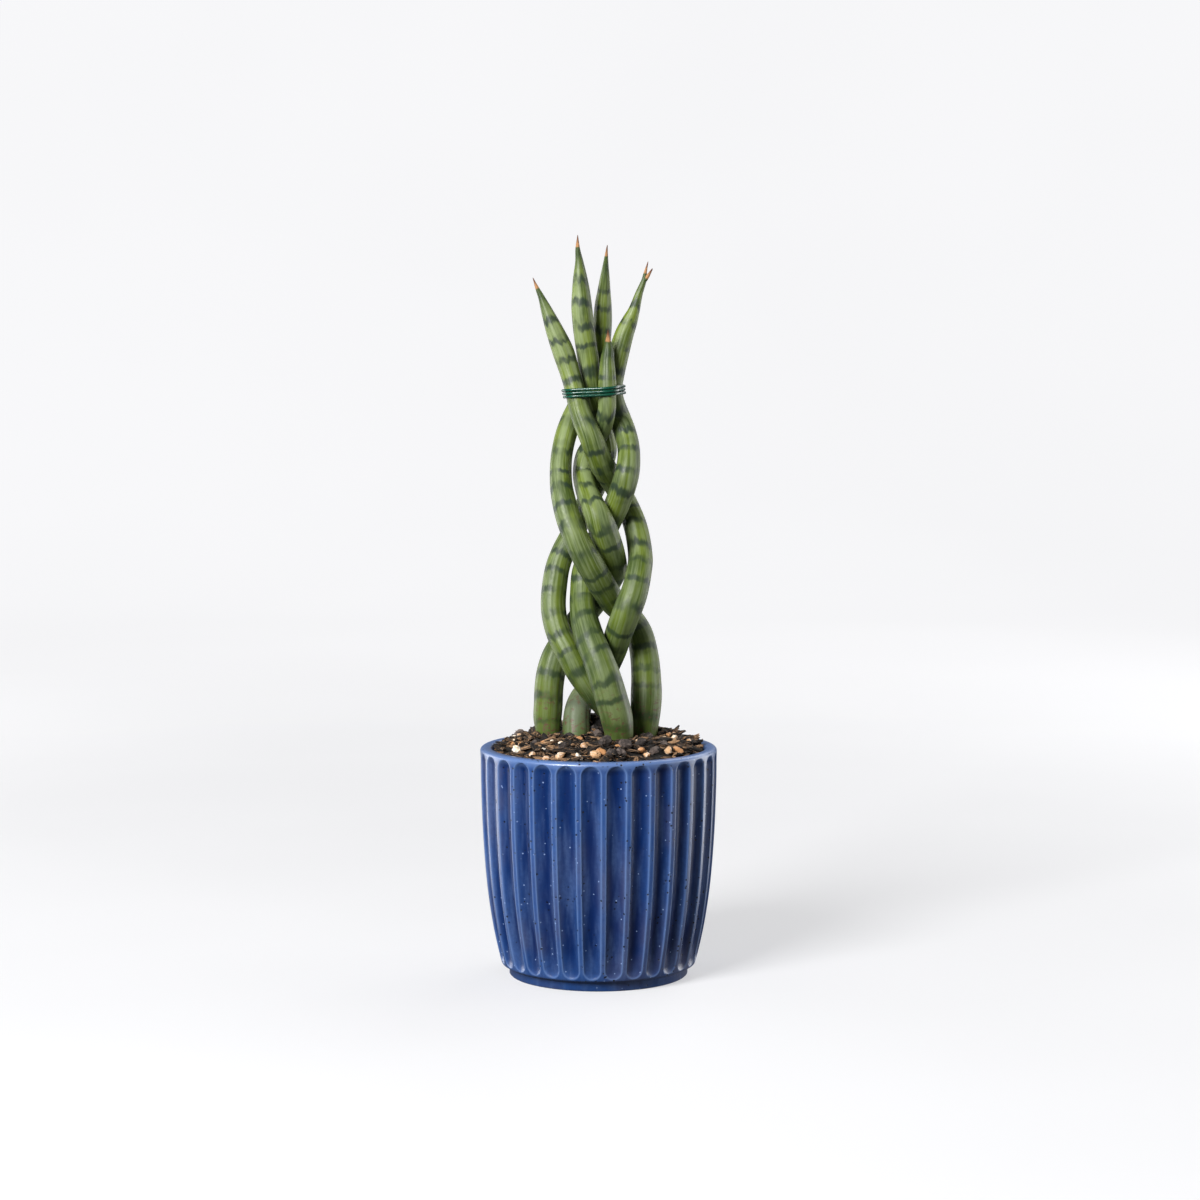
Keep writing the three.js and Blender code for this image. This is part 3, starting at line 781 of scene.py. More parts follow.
@dataclass(frozen=True)
class PotGlaze:
    """Blue satin glaze, pooled dark with painted shade in the flutes, paler with painted highlights on
    edges and lip, with pinholes and pale specks.
    """

    blue: Colour = (0.013, 0.064, 0.240)
    # Dark glaze that pools in the flutes, also used there as painted shade
    pooled_glaze_and_shade: Colour = (0.0006, 0.0115, 0.076)
    # Paler glaze on rib edges, runs and the lip, also laid on as a painted highlight
    edge: Colour = (0.145, 0.245, 0.50)
    mauve: Colour = (0.065, 0.078, 0.170)
    pinhole: Colour = (0.002, 0.004, 0.015)
    speck: Colour = (0.30, 0.42, 0.70)
    pale_lip_and_highlight_start: float = 140 * MM
    pale_lip_and_highlight_end: float = 144 * MM

    def build(self) -> bpy.types.Material:
        """Make the glaze material.

        Returns:
            The material.
        """
        s = Shading("pot_glaze", 0.34)
        place = s.place()
        # The edge value marks the rib edges and the lip's painted highlight
        hollow, edge = s.attribute("hollow"), s.attribute("rib_edge")
        cloud = s.noise(place, 22, 3)
        mottle = s.noise(place, 420, 4, 0.6)
        runs = s.noise(s.stretched(place, (1, 1, 0.12)), 160, 3)
        patches = s.between(s.noise(place, 55, 2), 0.5, 0.6)
        holes = s.times(s.between(s.cells(place, 250), 0.13, 0.19, 1, 0),
                        s.maths("MAXIMUM", s.between(edge, 0.02, 0.3), patches))
        speck_cells = s.cells(s.stretched(place, (1, 1, 1), (3, 1, 2)), 200)
        colour = s.layered(
            self.blue,
            (s.between(cloud, 0.42, 0.65, 0, 0.8), self.mauve),
            # Painted shade: the flutes darken with their depth, on top of the glaze's own pooling
            (s.times(hollow, 0.92), self.pooled_glaze_and_shade),
            (s.between(runs, 0.4, 0.75, 0, 0.25), self.edge),
            (s.between(mottle, 0.35, 0.65, 0, 0.25), self.pooled_glaze_and_shade),
            # Rib edges and the lip's top: paler glaze with a painted highlight in the same colour
            (s.times(edge, 0.58), self.edge),
            (s.between(s.height_of(place), self.pale_lip_and_highlight_start, self.pale_lip_and_highlight_end, 0, 0.5), self.edge),
            (s.between(speck_cells, 0.07, 0.11, 0.7, 0), self.speck),
            (holes, self.pinhole),
        )
        relief = s.bump(mottle, 0.12 * MM, 0.2)
        relief = s.bump(s.maths("SUBTRACT", 1.0, holes), 0.25 * MM, 0.8, relief)
        s.feed(s.shader.inputs["Specular IOR Level"], s.between(hollow, 0.1, 0.95, 0.75, 0.15))
        s.coat(0.2, 0.3)
        return s.finish(colour, relief, s.between(mottle, 0.3, 0.7, 0.31, 0.39))


@dataclass(frozen=True)
class EarthFinish:
    """Rough finish of one part of the potting mix, whose tint varies from lump to lump."""

    name: str
    dark: Colour
    mid: Colour
    pale: Colour
    grain_scale: float
    relief: float

    def build(self) -> bpy.types.Material:
        """Make the material: a tint for each lump, and grain within it.

        Returns:
            The material.
        """
        s = Shading(self.name, 0.88)
        place = s.place()
        tint = s.attribute("tint")
        grain_place = s.attribute("grain", vector=True)
        grain = s.noise(s.stretched(grain_place, (0.12, 1, 1)), self.grain_scale, 4, 0.65)
        crumbs = s.noise(place, 900, 4, 0.7)
        colour = s.layered(
            self.dark,
            (s.between(tint, 0.2, 0.75), self.mid),
            (s.between(s.maths("MULTIPLY_ADD", tint, 0.25, grain), 0.55, 0.85), self.pale),
            (s.between(crumbs, 0.5, 0.72, 0, 0.6), self.dark),
        )
        relief = s.bump(grain, self.relief, 0.9)
        relief = s.bump(crumbs, self.relief * 0.6, 0.8, relief)
        return s.finish(colour, relief, s.between(crumbs, 0.3, 0.7, 0.75, 0.95))


EARTH_FINISHES = (
    EarthFinish("crumbs", dark=(0.004, 0.003, 0.002), mid=(0.014, 0.009, 0.006),
                pale=(0.05, 0.03, 0.018), grain_scale=500, relief=0.5 * MM),
    EarthFinish("bark", dark=(0.005, 0.003, 0.002), mid=(0.045, 0.026, 0.015),
                pale=(0.50, 0.29, 0.15), grain_scale=1500, relief=0.7 * MM),
    EarthFinish("pumice", dark=(0.52, 0.25, 0.10), mid=(0.78, 0.56, 0.33),
                pale=(0.97, 0.93, 0.84), grain_scale=420, relief=0.4 * MM),
    EarthFinish("lava", dark=(0.02, 0.015, 0.013), mid=(0.06, 0.045, 0.04),
                pale=(0.17, 0.13, 0.11), grain_scale=450, relief=0.8 * MM),
)


@dataclass(frozen=True)
class WireCoating:
    """Glossy dark green coating of the tie wire."""

    green: Colour = (0.003, 0.055, 0.032)
    worn: Colour = (0.008, 0.085, 0.055)

    def build(self) -> bpy.types.Material:
        """Make the coating's material.

        Returns:
            The material.
        """
        s = Shading("wire_coating", 0.25)
        place = s.place()
        cloud = s.noise(place, 220, 3)
        fine = s.noise(place, 1500, 3)
        colour = s.mix(s.between(cloud, 0.4, 0.7), self.green, self.worn)
        gloss = s.between(fine, 0.3, 0.7, 0.18, 0.26)
        s.coat(0.3, 0.1)
        return s.finish(colour, s.bump(fine, 0.03 * MM, 0.2), gloss)


# Sub-assemblies


@dataclass
class FlutedPot:
    """Glazed pot with round-ended flutes cut in its outer wall.

    The flutes' columns and their share of the wall count from a flute's middle line in widths of
    a flute and its rib. Their step, reach and edge line count from there in half widths.
    """

    rim_radius: float = 75.3 * MM
    height: float = 146 * MM
    lip_width: float = 7.5 * MM
    foot_radius: float = 57 * MM
    foot_inner: float = 51 * MM
    foot_recess: float = 3 * MM
    floor_top: float = 11 * MM
    floor_radius: float = 54 * MM
    drain_radius: float = 7 * MM
    wall_foot: float = 7 * MM
    wall_top: float = 143.8 * MM
    lip_round: tuple[float, float] = (2.7 * MM, 2.3 * MM)
    inner_round: float = 1.8 * MM
    round_steps: int = 6
    flute_count: int = 30
    flute_depth: float = 3.3 * MM
    flute_share: float = 0.38
    flute_run_in: float = 20 * MM
    flute_end_share: float = 0.45
    flute_bottom: float = 8.8 * MM
    flute_top: float = 143.6 * MM
    flute_phase: float = math.radians(-3.5)
    flute_softness: float = 0.012
    flute_reach: float = 1.5
    step_end: float = 1.05
    step_width: float = 0.12
    step_share: float = 0.2
    edge_line: float = 1.06
    edge_width: float = 0.09
    # Painted highlight along the lip's top: its strength, height and width
    lip_shine: float = 0.55
    lip_shine_height: float = 2 * MM
    lip_shine_width: float = 5 * MM
    flute_columns: tuple[float, ...] = (
        0.07, 0.14, 0.20, 0.255, 0.30, 0.332, 0.355, 0.373, 0.39, 0.41, 0.44)
    wall_rows: int = 76
    inner_rows: int = 9
    wall_steps: int = 20
    row_crowding: float = 0.12
    wall_mm: tuple[tuple[float, float], ...] = (
        (60.8, 7), (62.7, 10), (67.8, 33), (71.6, 60), (74, 92), (75.1, 122), (75.3, 143.5))

    def wall_radius(self, height: np.ndarray) -> np.ndarray:
        """Find the outer wall's radius on its ribs, on a smooth curve through wall_mm."""
        curve = spline(np.array(self.wall_mm) * MM, self.wall_steps)
        return np.interp(height, curve[:, 1], curve[:, 0])

    def outline(self) -> tuple[np.ndarray, int]:
        """List the pot's profile as radius and height, from the wall's foot up and over.

        The wall's rows crowd towards both ends of the flutes, and each round edge is a run of
        points on a quarter of an ellipse.

        Returns:
            Array (rows, 2) of the profile, and the number of its rows on the fluted wall.
        """
        share = np.linspace(0, 1, self.wall_rows)
        share = share - self.row_crowding * np.sin(2 * math.pi * share)
        heights = self.wall_foot + (self.wall_top - self.wall_foot) * share
        wall = np.stack([self.wall_radius(heights), heights], 1)
        rim_inner = self.rim_radius - self.lip_width
        across, up = self.lip_round
        inner = self.inner_round
        parts = [
            wall,
            self.round_edge((self.rim_radius - across, self.height - up), across, up, 0),
            self.round_edge((rim_inner + inner, self.height - inner), inner, inner, 90),
            np.linspace((rim_inner, self.height - 2.4 * MM),
                        (self.floor_radius + 0.7 * MM, self.floor_top + 3 * MM), self.inner_rows),
            np.array([
                (self.floor_radius - 1.5 * MM, self.floor_top),
                (self.drain_radius + 0.8 * MM, self.floor_top),
                (self.drain_radius, self.floor_top - 0.8 * MM),
                (self.drain_radius, self.foot_recess),
                (self.foot_inner - 0.6 * MM, self.foot_recess),
                (self.foot_inner, self.foot_recess - 0.6 * MM),
                (self.foot_inner, 0.5 * MM),
                (self.foot_inner + 0.5 * MM, 0),
                (self.foot_radius - 0.6 * MM, 0),
                (self.foot_radius, 0.6 * MM),
                (self.foot_radius, 5.9 * MM),
                (self.foot_radius + 0.4 * MM, 6.4 * MM),
                (60.0 * MM, 6.5 * MM),
            ]),
        ]
        return np.vstack(parts), len(wall)

    def round_edge(self, centre: tuple[float, float], across: float, up: float, start: float
                   ) -> np.ndarray:
        """List points on a quarter of an ellipse.

        Args:
            centre: Radius and height of its middle.
            across: Half width.
            up: Half height.
            start: Angle in degrees from straight out, where the quarter starts.

        Returns:
            Array (round_steps, 2) of points, half a step in from both its ends.
        """
        turn = np.radians(start + 90 * (np.arange(self.round_steps) + 0.5) / self.round_steps)
        return np.stack([centre[0] + across * np.cos(turn), centre[1] + up * np.sin(turn)], 1)

    def flutes(self, radius: np.ndarray, height: np.ndarray, angle: np.ndarray
               ) -> tuple[np.ndarray, np.ndarray]:
        """Work out the flutes at points of the wall.

        A flute is a long slot with round ends. With d the distance from its middle line as a
        share of its half width, four fifths of its depth follow a parabola's 1 - d squared,
        rounded a little where it meets the wall, and the rest is a soft step at its edge.

        Args:
            radius: Wall radius at each point.
            height: Height of each point.
            angle: Bearing of each point from the front, the first flute's middle at zero.

        Returns:
            Share of the full depth, and closeness to a flute's edge, at each point.
        """
        pitch = 2 * math.pi / self.flute_count
        from_middle = np.abs((angle / pitch + 0.5) % 1 - 0.5) * pitch * radius
        half_width = self.flute_share * pitch * radius
        past_top = height - (self.flute_top - half_width)
        past_bottom = self.flute_bottom + half_width - height
        past_end = np.maximum(np.maximum(past_top, past_bottom), 0)
        d = np.hypot(from_middle, past_end) / half_width
        raw, soft = 1 - d**2, self.flute_softness
        cut = 0.5 * (raw + np.sqrt(raw**2 + soft)) - 0.5 * (math.sqrt(1 + soft) - 1)
        cut = np.where(d < self.flute_reach, cut, 0)
        step = soft_step((self.step_end - d) / self.step_width)
        cut = (1 - self.step_share) * cut + self.step_share * step
        return np.clip(cut, 0, 1), np.exp(-((d - self.edge_line) / self.edge_width)**2)

    def build(self, glaze: bpy.types.Material) -> bpy.types.Object:
        """Make the pot: the profile turned round the axis, less the flutes.

        The flutes grow to their full depth over a short run at their lower ends. The lip
        counts as an edge too, on a bell curve round its top, for paler glaze and a painted highlight.

        Args:
            glaze: Its material.

        Returns:
            The pot.
        """
        profile, wall_rows = self.outline()
        half = np.array(self.flute_columns)
        in_flute = np.concatenate([[0.0], half, [0.5], 1 - half[::-1]])
        flute = np.arange(self.flute_count)[:, None] + in_flute
        angle = flute.ravel() * 2 * math.pi / self.flute_count
        radius, height, bearing = np.broadcast_arrays(profile[:, :1], profile[:, 1:], angle)
        share, edge = self.flutes(radius, height, bearing)
        rise = soft_step((height - self.flute_bottom) / self.flute_run_in)
        share = share * (self.flute_end_share + (1 - self.flute_end_share) * rise)
        on_wall = (np.arange(len(profile)) < wall_rows)[:, None]
        share = np.where(on_wall, share, 0)
        # Painted highlight along the lip's top, carried in the edge value with the paler glaze
        lip_glaze_and_highlight = np.exp(-((height - self.height) / self.lip_shine_height)**2)
        lip_glaze_and_highlight = lip_glaze_and_highlight * (radius > self.rim_radius - self.lip_shine_width)
        edge = np.maximum(np.where(on_wall, edge, 0), self.lip_shine * lip_glaze_and_highlight)
        points = round_axis(radius - self.flute_depth * share, bearing + self.flute_phase, height)
        faces = grid_faces(len(profile), len(angle), close_rows=True)
        return make_piece("glazed_pot", points.reshape(-1, 3), faces.tolist(), Slot.GLAZE, glaze,
                          ["pot"], hollow=share.ravel(), rib_edge=edge.ravel())


@dataclass
class SnakeLeaf:
    """One round leaf swept along its route, from its dry tip to its root.

    Its swelling, shrivelling and grooves are shares of its girth, and age tells how grey its
    lower end has turned.
    """

    name: str
    route_mm: Sequence[Sequence[float]]
    seed: int
    age: float = 0.0
    prong_mm: Sequence[Sequence[float]] = ()
    rings: int = 300
    sides: int = 56
    prong_rings: int = 16
    prong_sides: int = 20
    girth_share: float = 0.975
    pattern_radius: float = 8 * MM
    pattern_shift: float = 0.7
    swelling: float = 0.02
    swelling_size: float = 60 * MM
    shrivel: float = 0.2
    shrivel_size: float = 7 * MM
    shrivel_length: float = 9 * MM
    shrivel_seed: int = 9
    pole_reach: float = 0.6
    groove_count: int = 9
    groove_depth: float = 0.045
    groove_phase: float = 6.28
    groove_drift: float = 0.2
    groove_widths: tuple[float, float] = (0.07, 0.15)
    groove_wander: float = 0.16
    groove_wave: float = 45 * MM
    groove_fades: tuple[float, float] = (20 * MM, 50 * MM)
    fade_middle: float = 0.45
    route_steps: int = 24
    prong_steps: int = 6
    samples: np.ndarray = field(init=False)

    def __post_init__(self) -> None:
        """Resample the route at even steps: place and radius in metres."""
        dense = spline(np.array(self.route_mm, float) * MM, self.route_steps)
        length = along_curve(dense[:, :3])
        steps = np.linspace(0, length[-1], self.rings)
        self.samples = np.stack([np.interp(steps, length, column) for column in dense.T], 1)

    def grooves(self, around: np.ndarray, along: np.ndarray) -> np.ndarray:
        """Work out the lengthwise grooves.

        Each groove is a narrow bell shape round the leaf, whose middle wanders on a slow sine
        and whose depth swells and fades along the leaf.

        Args:
            around: Angle of each point round the leaf.
            along: Length of each point from the tip.

        Returns:
            Groove depth at each point, between 0 and about 1.
        """
        draw = np.random.default_rng(self.seed)
        depth = np.zeros(np.broadcast(around, along).shape)
        for middle in even_turn(self.groove_count):
            phase = draw.uniform(0, self.groove_phase)
            drift = draw.uniform(-self.groove_drift, self.groove_drift)
            width = draw.uniform(*self.groove_widths)
            line = middle + drift + self.groove_wander * np.sin(along / self.groove_wave + phase)
            gap = (around - line + math.pi) % (2 * math.pi) - math.pi
            wave = np.sin(along / draw.uniform(*self.groove_fades) + 2 * phase)
            fade = np.clip(self.fade_middle + (1 - self.fade_middle) * wave, 0, 1)
            depth += np.exp(-(gap / width)**2) * fade
        return depth

    def sweep(self, samples: np.ndarray, sides: int) -> tuple[np.ndarray, np.ndarray, list[list[int]]]:
        """Carry the leaf's section along a route.

        Each ring is square to the route. Its radius is the girth there, less the grooves, with
        a slight swelling and a shrivelled tip.

        Args:
            samples: Array (n, 4) of places and radii, tip first.
            sides: Number of points round the leaf.

        Returns:
            Points, the same points on the unbent leaf, and faces.
        """
        centres, girth = samples[:, :3], samples[:, 3:]
        along = along_curve(centres)[:, None]
        around = even_turn(sides)[None, :]
        across, deep = self.pattern_radius * np.cos(around), self.pattern_radius * np.sin(around)
        straight = np.stack(np.broadcast_arrays(across, deep, along), -1)
        swelling = self.swelling * smooth_noise(straight, self.swelling_size, self.seed)
        shrivel = np.exp(-(along / self.shrivel_length)**2) * self.shrivel
        shrivel = shrivel * smooth_noise(straight, self.shrivel_size, self.seed + self.shrivel_seed)
        grooves = self.groove_depth * self.grooves(around, along)
        scale = self.girth_share + swelling - grooves + shrivel
        rows = rings_along(centres, (1, 0, 0), girth * np.minimum(scale, 1.0))
        pole = centres[0] + (centres[0] - centres[1]) * self.pole_reach
        points, faces = capped_tube(rows, pole, centres[-1])
        unbent = np.vstack([straight.reshape(-1, 3), (0, 0, 0), (0, 0, along[-1, 0])])
        return points, unbent, faces

    def build(self, skin: bpy.types.Material) -> bpy.types.Object:
        """Make the leaf, with the second prong of a split tip if it has one.

        Args:
            skin: Its material.

        Returns:
            The leaf.
        """
        points, unbent, faces = self.sweep(self.samples, self.sides)
        if self.prong_mm:
            route = spline(np.array(self.prong_mm, float) * MM, self.prong_steps)
            more, more_unbent, more_faces = self.sweep(route[:self.prong_rings], self.prong_sides)
            faces = faces + [[corner + len(points) for corner in face] for face in more_faces]
            points, unbent = np.vstack([points, more]), np.vstack([unbent, more_unbent])
        above_mix = points[:, 2] - mound_height(points[:, 0], points[:, 1])
        return make_piece(self.name + "_skin", points, faces, Slot.LEAF, skin, [self.name],
                          skin=unbent + (0, 0, self.pattern_shift * self.seed),
                          from_tip=unbent[:, 2], above_mix=above_mix,
                          age=np.full(len(points), self.age))


@dataclass
class TieWire:
    """Coated wire wound three times round the bundle of leaves."""

    leaves: Sequence[SnakeLeaf]
    diameter: float = 1.7 * MM
    pitch: float = 2.05 * MM
    turns: int = 3
    lowest: float = 368.2 * MM
    tilt: float = 0.045
    gap: float = 0.2 * MM
    steps_per_turn: int = 160
    smoothing: int = 7
    sides: int = 14
    end_share: float = 0.7
    end_reach: float = 0.3

    def line(self) -> np.ndarray:
        """Work out the wire's line round the leaves.

        It starts at the back and climbs one pitch a turn. At each bearing it lies on the leaf
        that reaches furthest out, so it runs straight over the gaps between leaves. The line is
        then cut into even steps, and a short running mean rounds its corners.

        Returns:
            Array (n, 3) of points.
        """
        balls = np.vstack([leaf.samples for leaf in self.leaves])
        step = np.arange(self.turns * self.steps_per_turn + 1)
        bearing = math.pi / 2 + 2 * math.pi * step / self.steps_per_turn
        out = np.stack([np.cos(bearing), np.sin(bearing)], 1)
        height = self.lowest + self.pitch * step / self.steps_per_turn
        level = height[:, None] + self.tilt * balls[None, :, 0]
        away = np.maximum(np.abs(balls[None, :, 2] - level) - self.diameter / 2, 0)
        section = np.sqrt(np.maximum(balls[None, :, 3]**2 - away**2, 0))
        reach = out @ balls[:, :2].T + section
        reach = np.where(section > 0, reach, -1)
        best = reach.argmax(axis=1)
        rows = np.arange(len(step))
        off = section[rows, best] + self.diameter / 2 + self.gap
        flat = balls[best, :2] + off[:, None] * out
        line = np.column_stack([flat, height + self.tilt * flat[:, 0]])
        length = along_curve(line)
        even = np.linspace(0, length[-1], len(step))
        line = np.stack([np.interp(even, length, column) for column in line.T], 1)
        kernel = np.ones(self.smoothing) / self.smoothing
        ends = np.pad(line, ((self.smoothing // 2,) * 2, (0, 0)), mode="edge")
        return np.stack([np.convolve(column, kernel, "valid") for column in ends.T], 1)

    def build(self, coating: bpy.types.Material) -> bpy.types.Object:
        """Make the wire: a round section carried along its line, with rounded ends.

        Args:
            coating: Its material.

        Returns:
            The wire.
        """
        centres = self.line()
        reach = np.full((len(centres), self.sides), self.diameter / 2)
        reach[[0, -1]] *= self.end_share
        rows = rings_along(centres, (0, 0, 1), reach)
        start = centres[0] + self.end_reach * (centres[0] - centres[1])
        end = centres[-1] + self.end_reach * (centres[-1] - centres[-2])
        points, faces = capped_tube(rows, start, end)
        return make_piece("coated_tie_wire", points, faces, Slot.WIRE, coating, ["tie_wire"])


@dataclass(frozen=True)
class LumpStyle:
    """How one kind of lump is scattered and shaped.

    The gaps keep its places off the pot's wall and the leaves, dents are shares of its size, and
    lean is its greatest lean in radians.
    """

    grain: Grain
    count: int
    seed: int
    wall_gap: float
    leaf_gap: float
    dents: float
    lean: float


@dataclass
class PottingMix:
    """Mound of bark chips, pumice grains and lava lumps that fills the pot.

    Scattered pebbles keep a gap to the listed ones, and only a share of them is kept in front of
    the front line, where the photograph shows which ones lie.
    """

    leaves: Sequence[SnakeLeaf]
    wall_radius: float = 67.2 * MM
    floor_radius: float = 53.4 * MM
    floor: float = 11.4 * MM
    surface: float = 147 * MM
    rings: int = 70
    sides: int = 220
    centre_share: float = 0.012
    rough_edge: float = 0.06
    roughness: float = 0.9 * MM
    coarse_size: float = 21 * MM
    fine_size: float = 8 * MM
    fine_share: float = 0.6
    sink: float = 0.6 * MM
    tint_size: float = 12 * MM
    tint_reach: float = 0.25
    tint_seed: int = 5
    seed: int = 41
    bark: LumpStyle = LumpStyle(Grain.BARK, count=820, seed=51, wall_gap=2.5 * MM,
                                leaf_gap=0.8 * MM, dents=0.2, lean=0.45)
    bark_sizes_mm: tuple[tuple[float, float], ...] = ((5, 17), (1.6, 4.4), (1.0, 2.6))
    bark_rise: float = 1.5 * MM
    bark_darkness: float = 2.2
    bark_stations: tuple[float, ...] = (-0.5, -0.34, 0.0, 0.33, 0.5)
    bark_girths: tuple[float, ...] = (0.45, 0.92, 1.0, 0.9, 0.4)
    bark_corners: int = 6
    bark_reach: float = 0.55
    bark_end: float = 0.52
    pumice: LumpStyle = LumpStyle(Grain.PUMICE, count=60, seed=54, wall_gap=4 * MM,
                                  leaf_gap=2.2 * MM, dents=0.16, lean=0.5)
    pumice_widths_mm: tuple[float, float] = (1.8, 5.0)
    lava: LumpStyle = LumpStyle(Grain.LAVA, count=26, seed=52, wall_gap=4 * MM,
                                leaf_gap=2.2 * MM, dents=0.22, lean=0.5)
    lava_widths_mm: tuple[float, float] = (4.5, 8.5)
    tries_each: int = 6
    listed_growth: float = 1.02
    listed_gap: float = 6 * MM
    front_line: float = -18 * MM
    front_share: float = 0.25
    pebble_rise: float = 0.34
    pebble_flatness: float = 0.8
    pebble_lengths: tuple[float, float] = (1.0, 1.4)
    wall_clearance: float = 0.1 * MM

    def leaf_feet(self) -> np.ndarray:
        """Find where each leaf passes through the mix's surface, with its radius there."""
        return np.array([leaf.samples[np.abs(leaf.samples[:, 2] - self.surface).argmin()]
                         for leaf in self.leaves])

    def ground(self, finish: bpy.types.Material) -> bpy.types.Object:
        """Make the mix's body: a rough mound closed down to the pot's floor.

        The top is a disc of rings whose height is the mound plus two sizes of noise, which
        fade out at the pot's wall.

        Args:
            finish: Its material.

        Returns:
            The body.
        """
        share = np.linspace(1, self.centre_share, self.rings)[:, None]
        angle = even_turn(self.sides)[None, :]
        top = round_axis(self.wall_radius * share, angle, 0.0)
        coarse = smooth_noise(top, self.coarse_size, self.seed)
        fine = smooth_noise(top, self.fine_size, self.seed + 1)
        edge = np.clip((1 - share) / self.rough_edge, 0, 1)
        rough = edge * self.roughness * (coarse + self.fine_share * fine)
        top[..., 2] = mound_height(top[..., 0], top[..., 1]) + rough - self.sink
        rows = np.concatenate([round_axis(self.floor_radius, angle, self.floor), top])
        points, faces = capped_tube(rows, np.array([0, 0, self.floor]),
                                    np.array([0, 0, top[-1, :, 2].mean()]))
        tint = self.tint_reach * (1 + smooth_noise(points, self.tint_size, self.tint_seed))
        return make_piece("mix_body", points, faces, Slot.MIX, finish, ["soil"],
                          tint=tint, grain=points)

    def scatter(self, style: LumpStyle, count: int, draw: np.random.Generator) -> np.ndarray:
        """Draw places on the mix, evenly over its top and clear of the leaves.

        Args:
            style: Kind of lump, with the gaps to keep.
            count: Number of places.
            draw: Random generator.

        Returns:
            Array (count, 2) of places.
        """
        tries = count * self.tries_each
        distance = (self.wall_radius - style.wall_gap) * np.sqrt(draw.uniform(0, 1, tries))
        bearing = draw.uniform(0, 2 * math.pi, tries)
        flat = np.stack([distance * np.sin(bearing), distance * np.cos(bearing)], 1)
        feet = self.leaf_feet()
        gap = np.linalg.norm(flat[:, None] - feet[None, :, :2], axis=2) - feet[None, :, 3]
        return flat[(gap > style.leaf_gap).all(axis=1)][:count]

    def template(self, grain: Grain) -> tuple[np.ndarray, np.ndarray]:
        """Make one lump of unit size.

        Pumice and lava are a ball of 80 triangles, and bark is a bar of 5 rings of 6 corners
        that narrows to its ends.

        Args:
            grain: Kind of lump.

        Returns:
            Points and triangles.
        """
        if grain is not Grain.BARK:
            bpy.ops.mesh.primitive_ico_sphere_add(subdivisions=2, radius=0.5)
            ball = bpy.context.object
            points = np.array([vertex.co for vertex in ball.data.vertices])
            faces = np.array([face.vertices for face in ball.data.polygons])
            bpy.data.objects.remove(ball)
            return points, faces
        station = np.array(self.bark_stations)[:, None]
        reach = self.bark_reach * np.array(self.bark_girths)[:, None]
        turn = even_turn(self.bark_corners) + math.pi / self.bark_corners
        rows = np.stack(np.broadcast_arrays(station, reach * np.cos(turn), reach * np.sin(turn)), -1)
        end = np.array([self.bark_end, 0, 0])
        points, faces = capped_tube(rows, -end, end)
        quads = np.array([face for face in faces if len(face) == 4])
        fans = np.array([face for face in faces if len(face) == 3])
        return points, np.vstack([quads[:, [0, 1, 2]], quads[:, [0, 2, 3]], fans])

    def lumps(self, style: LumpStyle, places: np.ndarray, sizes: np.ndarray, rise: np.ndarray,
              tints: np.ndarray, finish: bpy.types.Material) -> bpy.types.Object:
        """Make one piece of many lumps, each turned, sized and dented by itself.

        Args:
            style: Kind of lump.
            places: Array (n, 2) of places on the mix.
            sizes: Array (n, 3) of length, width and thickness.
            rise: Array (n,) of the heights of the lumps' middles over the mix.
            tints: Array (n,) of tints between 0 and 1.
            finish: Material.

        Returns:
            The piece.
        """
        draw = np.random.default_rng(style.seed)
        template, triangles = self.template(style.grain)
        count, corners = len(places), len(template)
        dents = 1 + style.dents * draw.uniform(-1, 1, (count, corners, 1))
        local = template[None] * dents * sizes[:, None]
        turn = draw.uniform(0, math.pi * 2, count)
        lean = draw.uniform(-style.lean, style.lean, (count, 2))
        grain_place = local + draw.uniform(-1, 1, (count, 1, 3))
        x, y, z = local[..., 0], local[..., 1], local[..., 2]
        z, x = turned(z, x, lean[:, :1])
        y, z = turned(y, z, lean[:, 1:])
        x, y = turned(x, y, turn[:, None])
        ground = mound_height(places[:, 0], places[:, 1]) + rise
        points = np.stack([x + places[:, :1], y + places[:, 1:], z + ground[:, None]], -1)
        reach = np.maximum(np.hypot(points[..., 0], points[..., 1]), 1e-6)
        points[..., :2] *= np.minimum(1, (self.wall_radius - self.wall_clearance) / reach)[..., None]
        faces = (triangles[None] + np.arange(count)[:, None, None] * corners).reshape(-1, 3)
        return make_piece(style.grain.value, points.reshape(-1, 3), faces.tolist(), Slot.MIX, finish,
                          smooth=False, tint=np.repeat(tints, corners),
                          grain=grain_place.reshape(-1, 3))

    def pebbles(self, style: LumpStyle, placed: Sequence[Sequence[float]], draw: np.random.Generator,
                widths: tuple[float, float], finish: bpy.types.Material) -> bpy.types.Object:
        """Make the pebbles of one kind: some where they are listed, the rest scattered behind.

        Args:
            style: Kind of pebble.
            placed: Rows of place and width in millimetres, and tint.
            draw: Random generator.
            widths: Smallest and largest width of the scattered ones, in millimetres.
            finish: Material.

        Returns:
            The piece.
        """
        listed = np.array(placed, float)
        loose = self.scatter(style, style.count * 2, draw)
        away = np.linalg.norm(loose[:, None] - listed[None, :, :2] * MM, axis=2).min(axis=1)
        kept = (loose[:, 1] > self.front_line) | (draw.uniform(0, 1, len(loose)) < self.front_share)
        loose = loose[(away > self.listed_gap) & kept][:style.count]
        girth = np.concatenate([listed[:, 2] * self.listed_growth, draw.uniform(*widths, len(loose))])
        tints = np.concatenate([listed[:, 3], draw.uniform(0, 1, len(loose))])
        places = np.vstack([listed[:, :2] * MM, loose])
        longer = draw.uniform(*self.pebble_lengths, len(girth))
        sizes = np.stack([girth * longer, girth, girth * self.pebble_flatness], 1) * MM
        return self.lumps(style, places, sizes, self.pebble_rise * girth * MM, tints, finish)

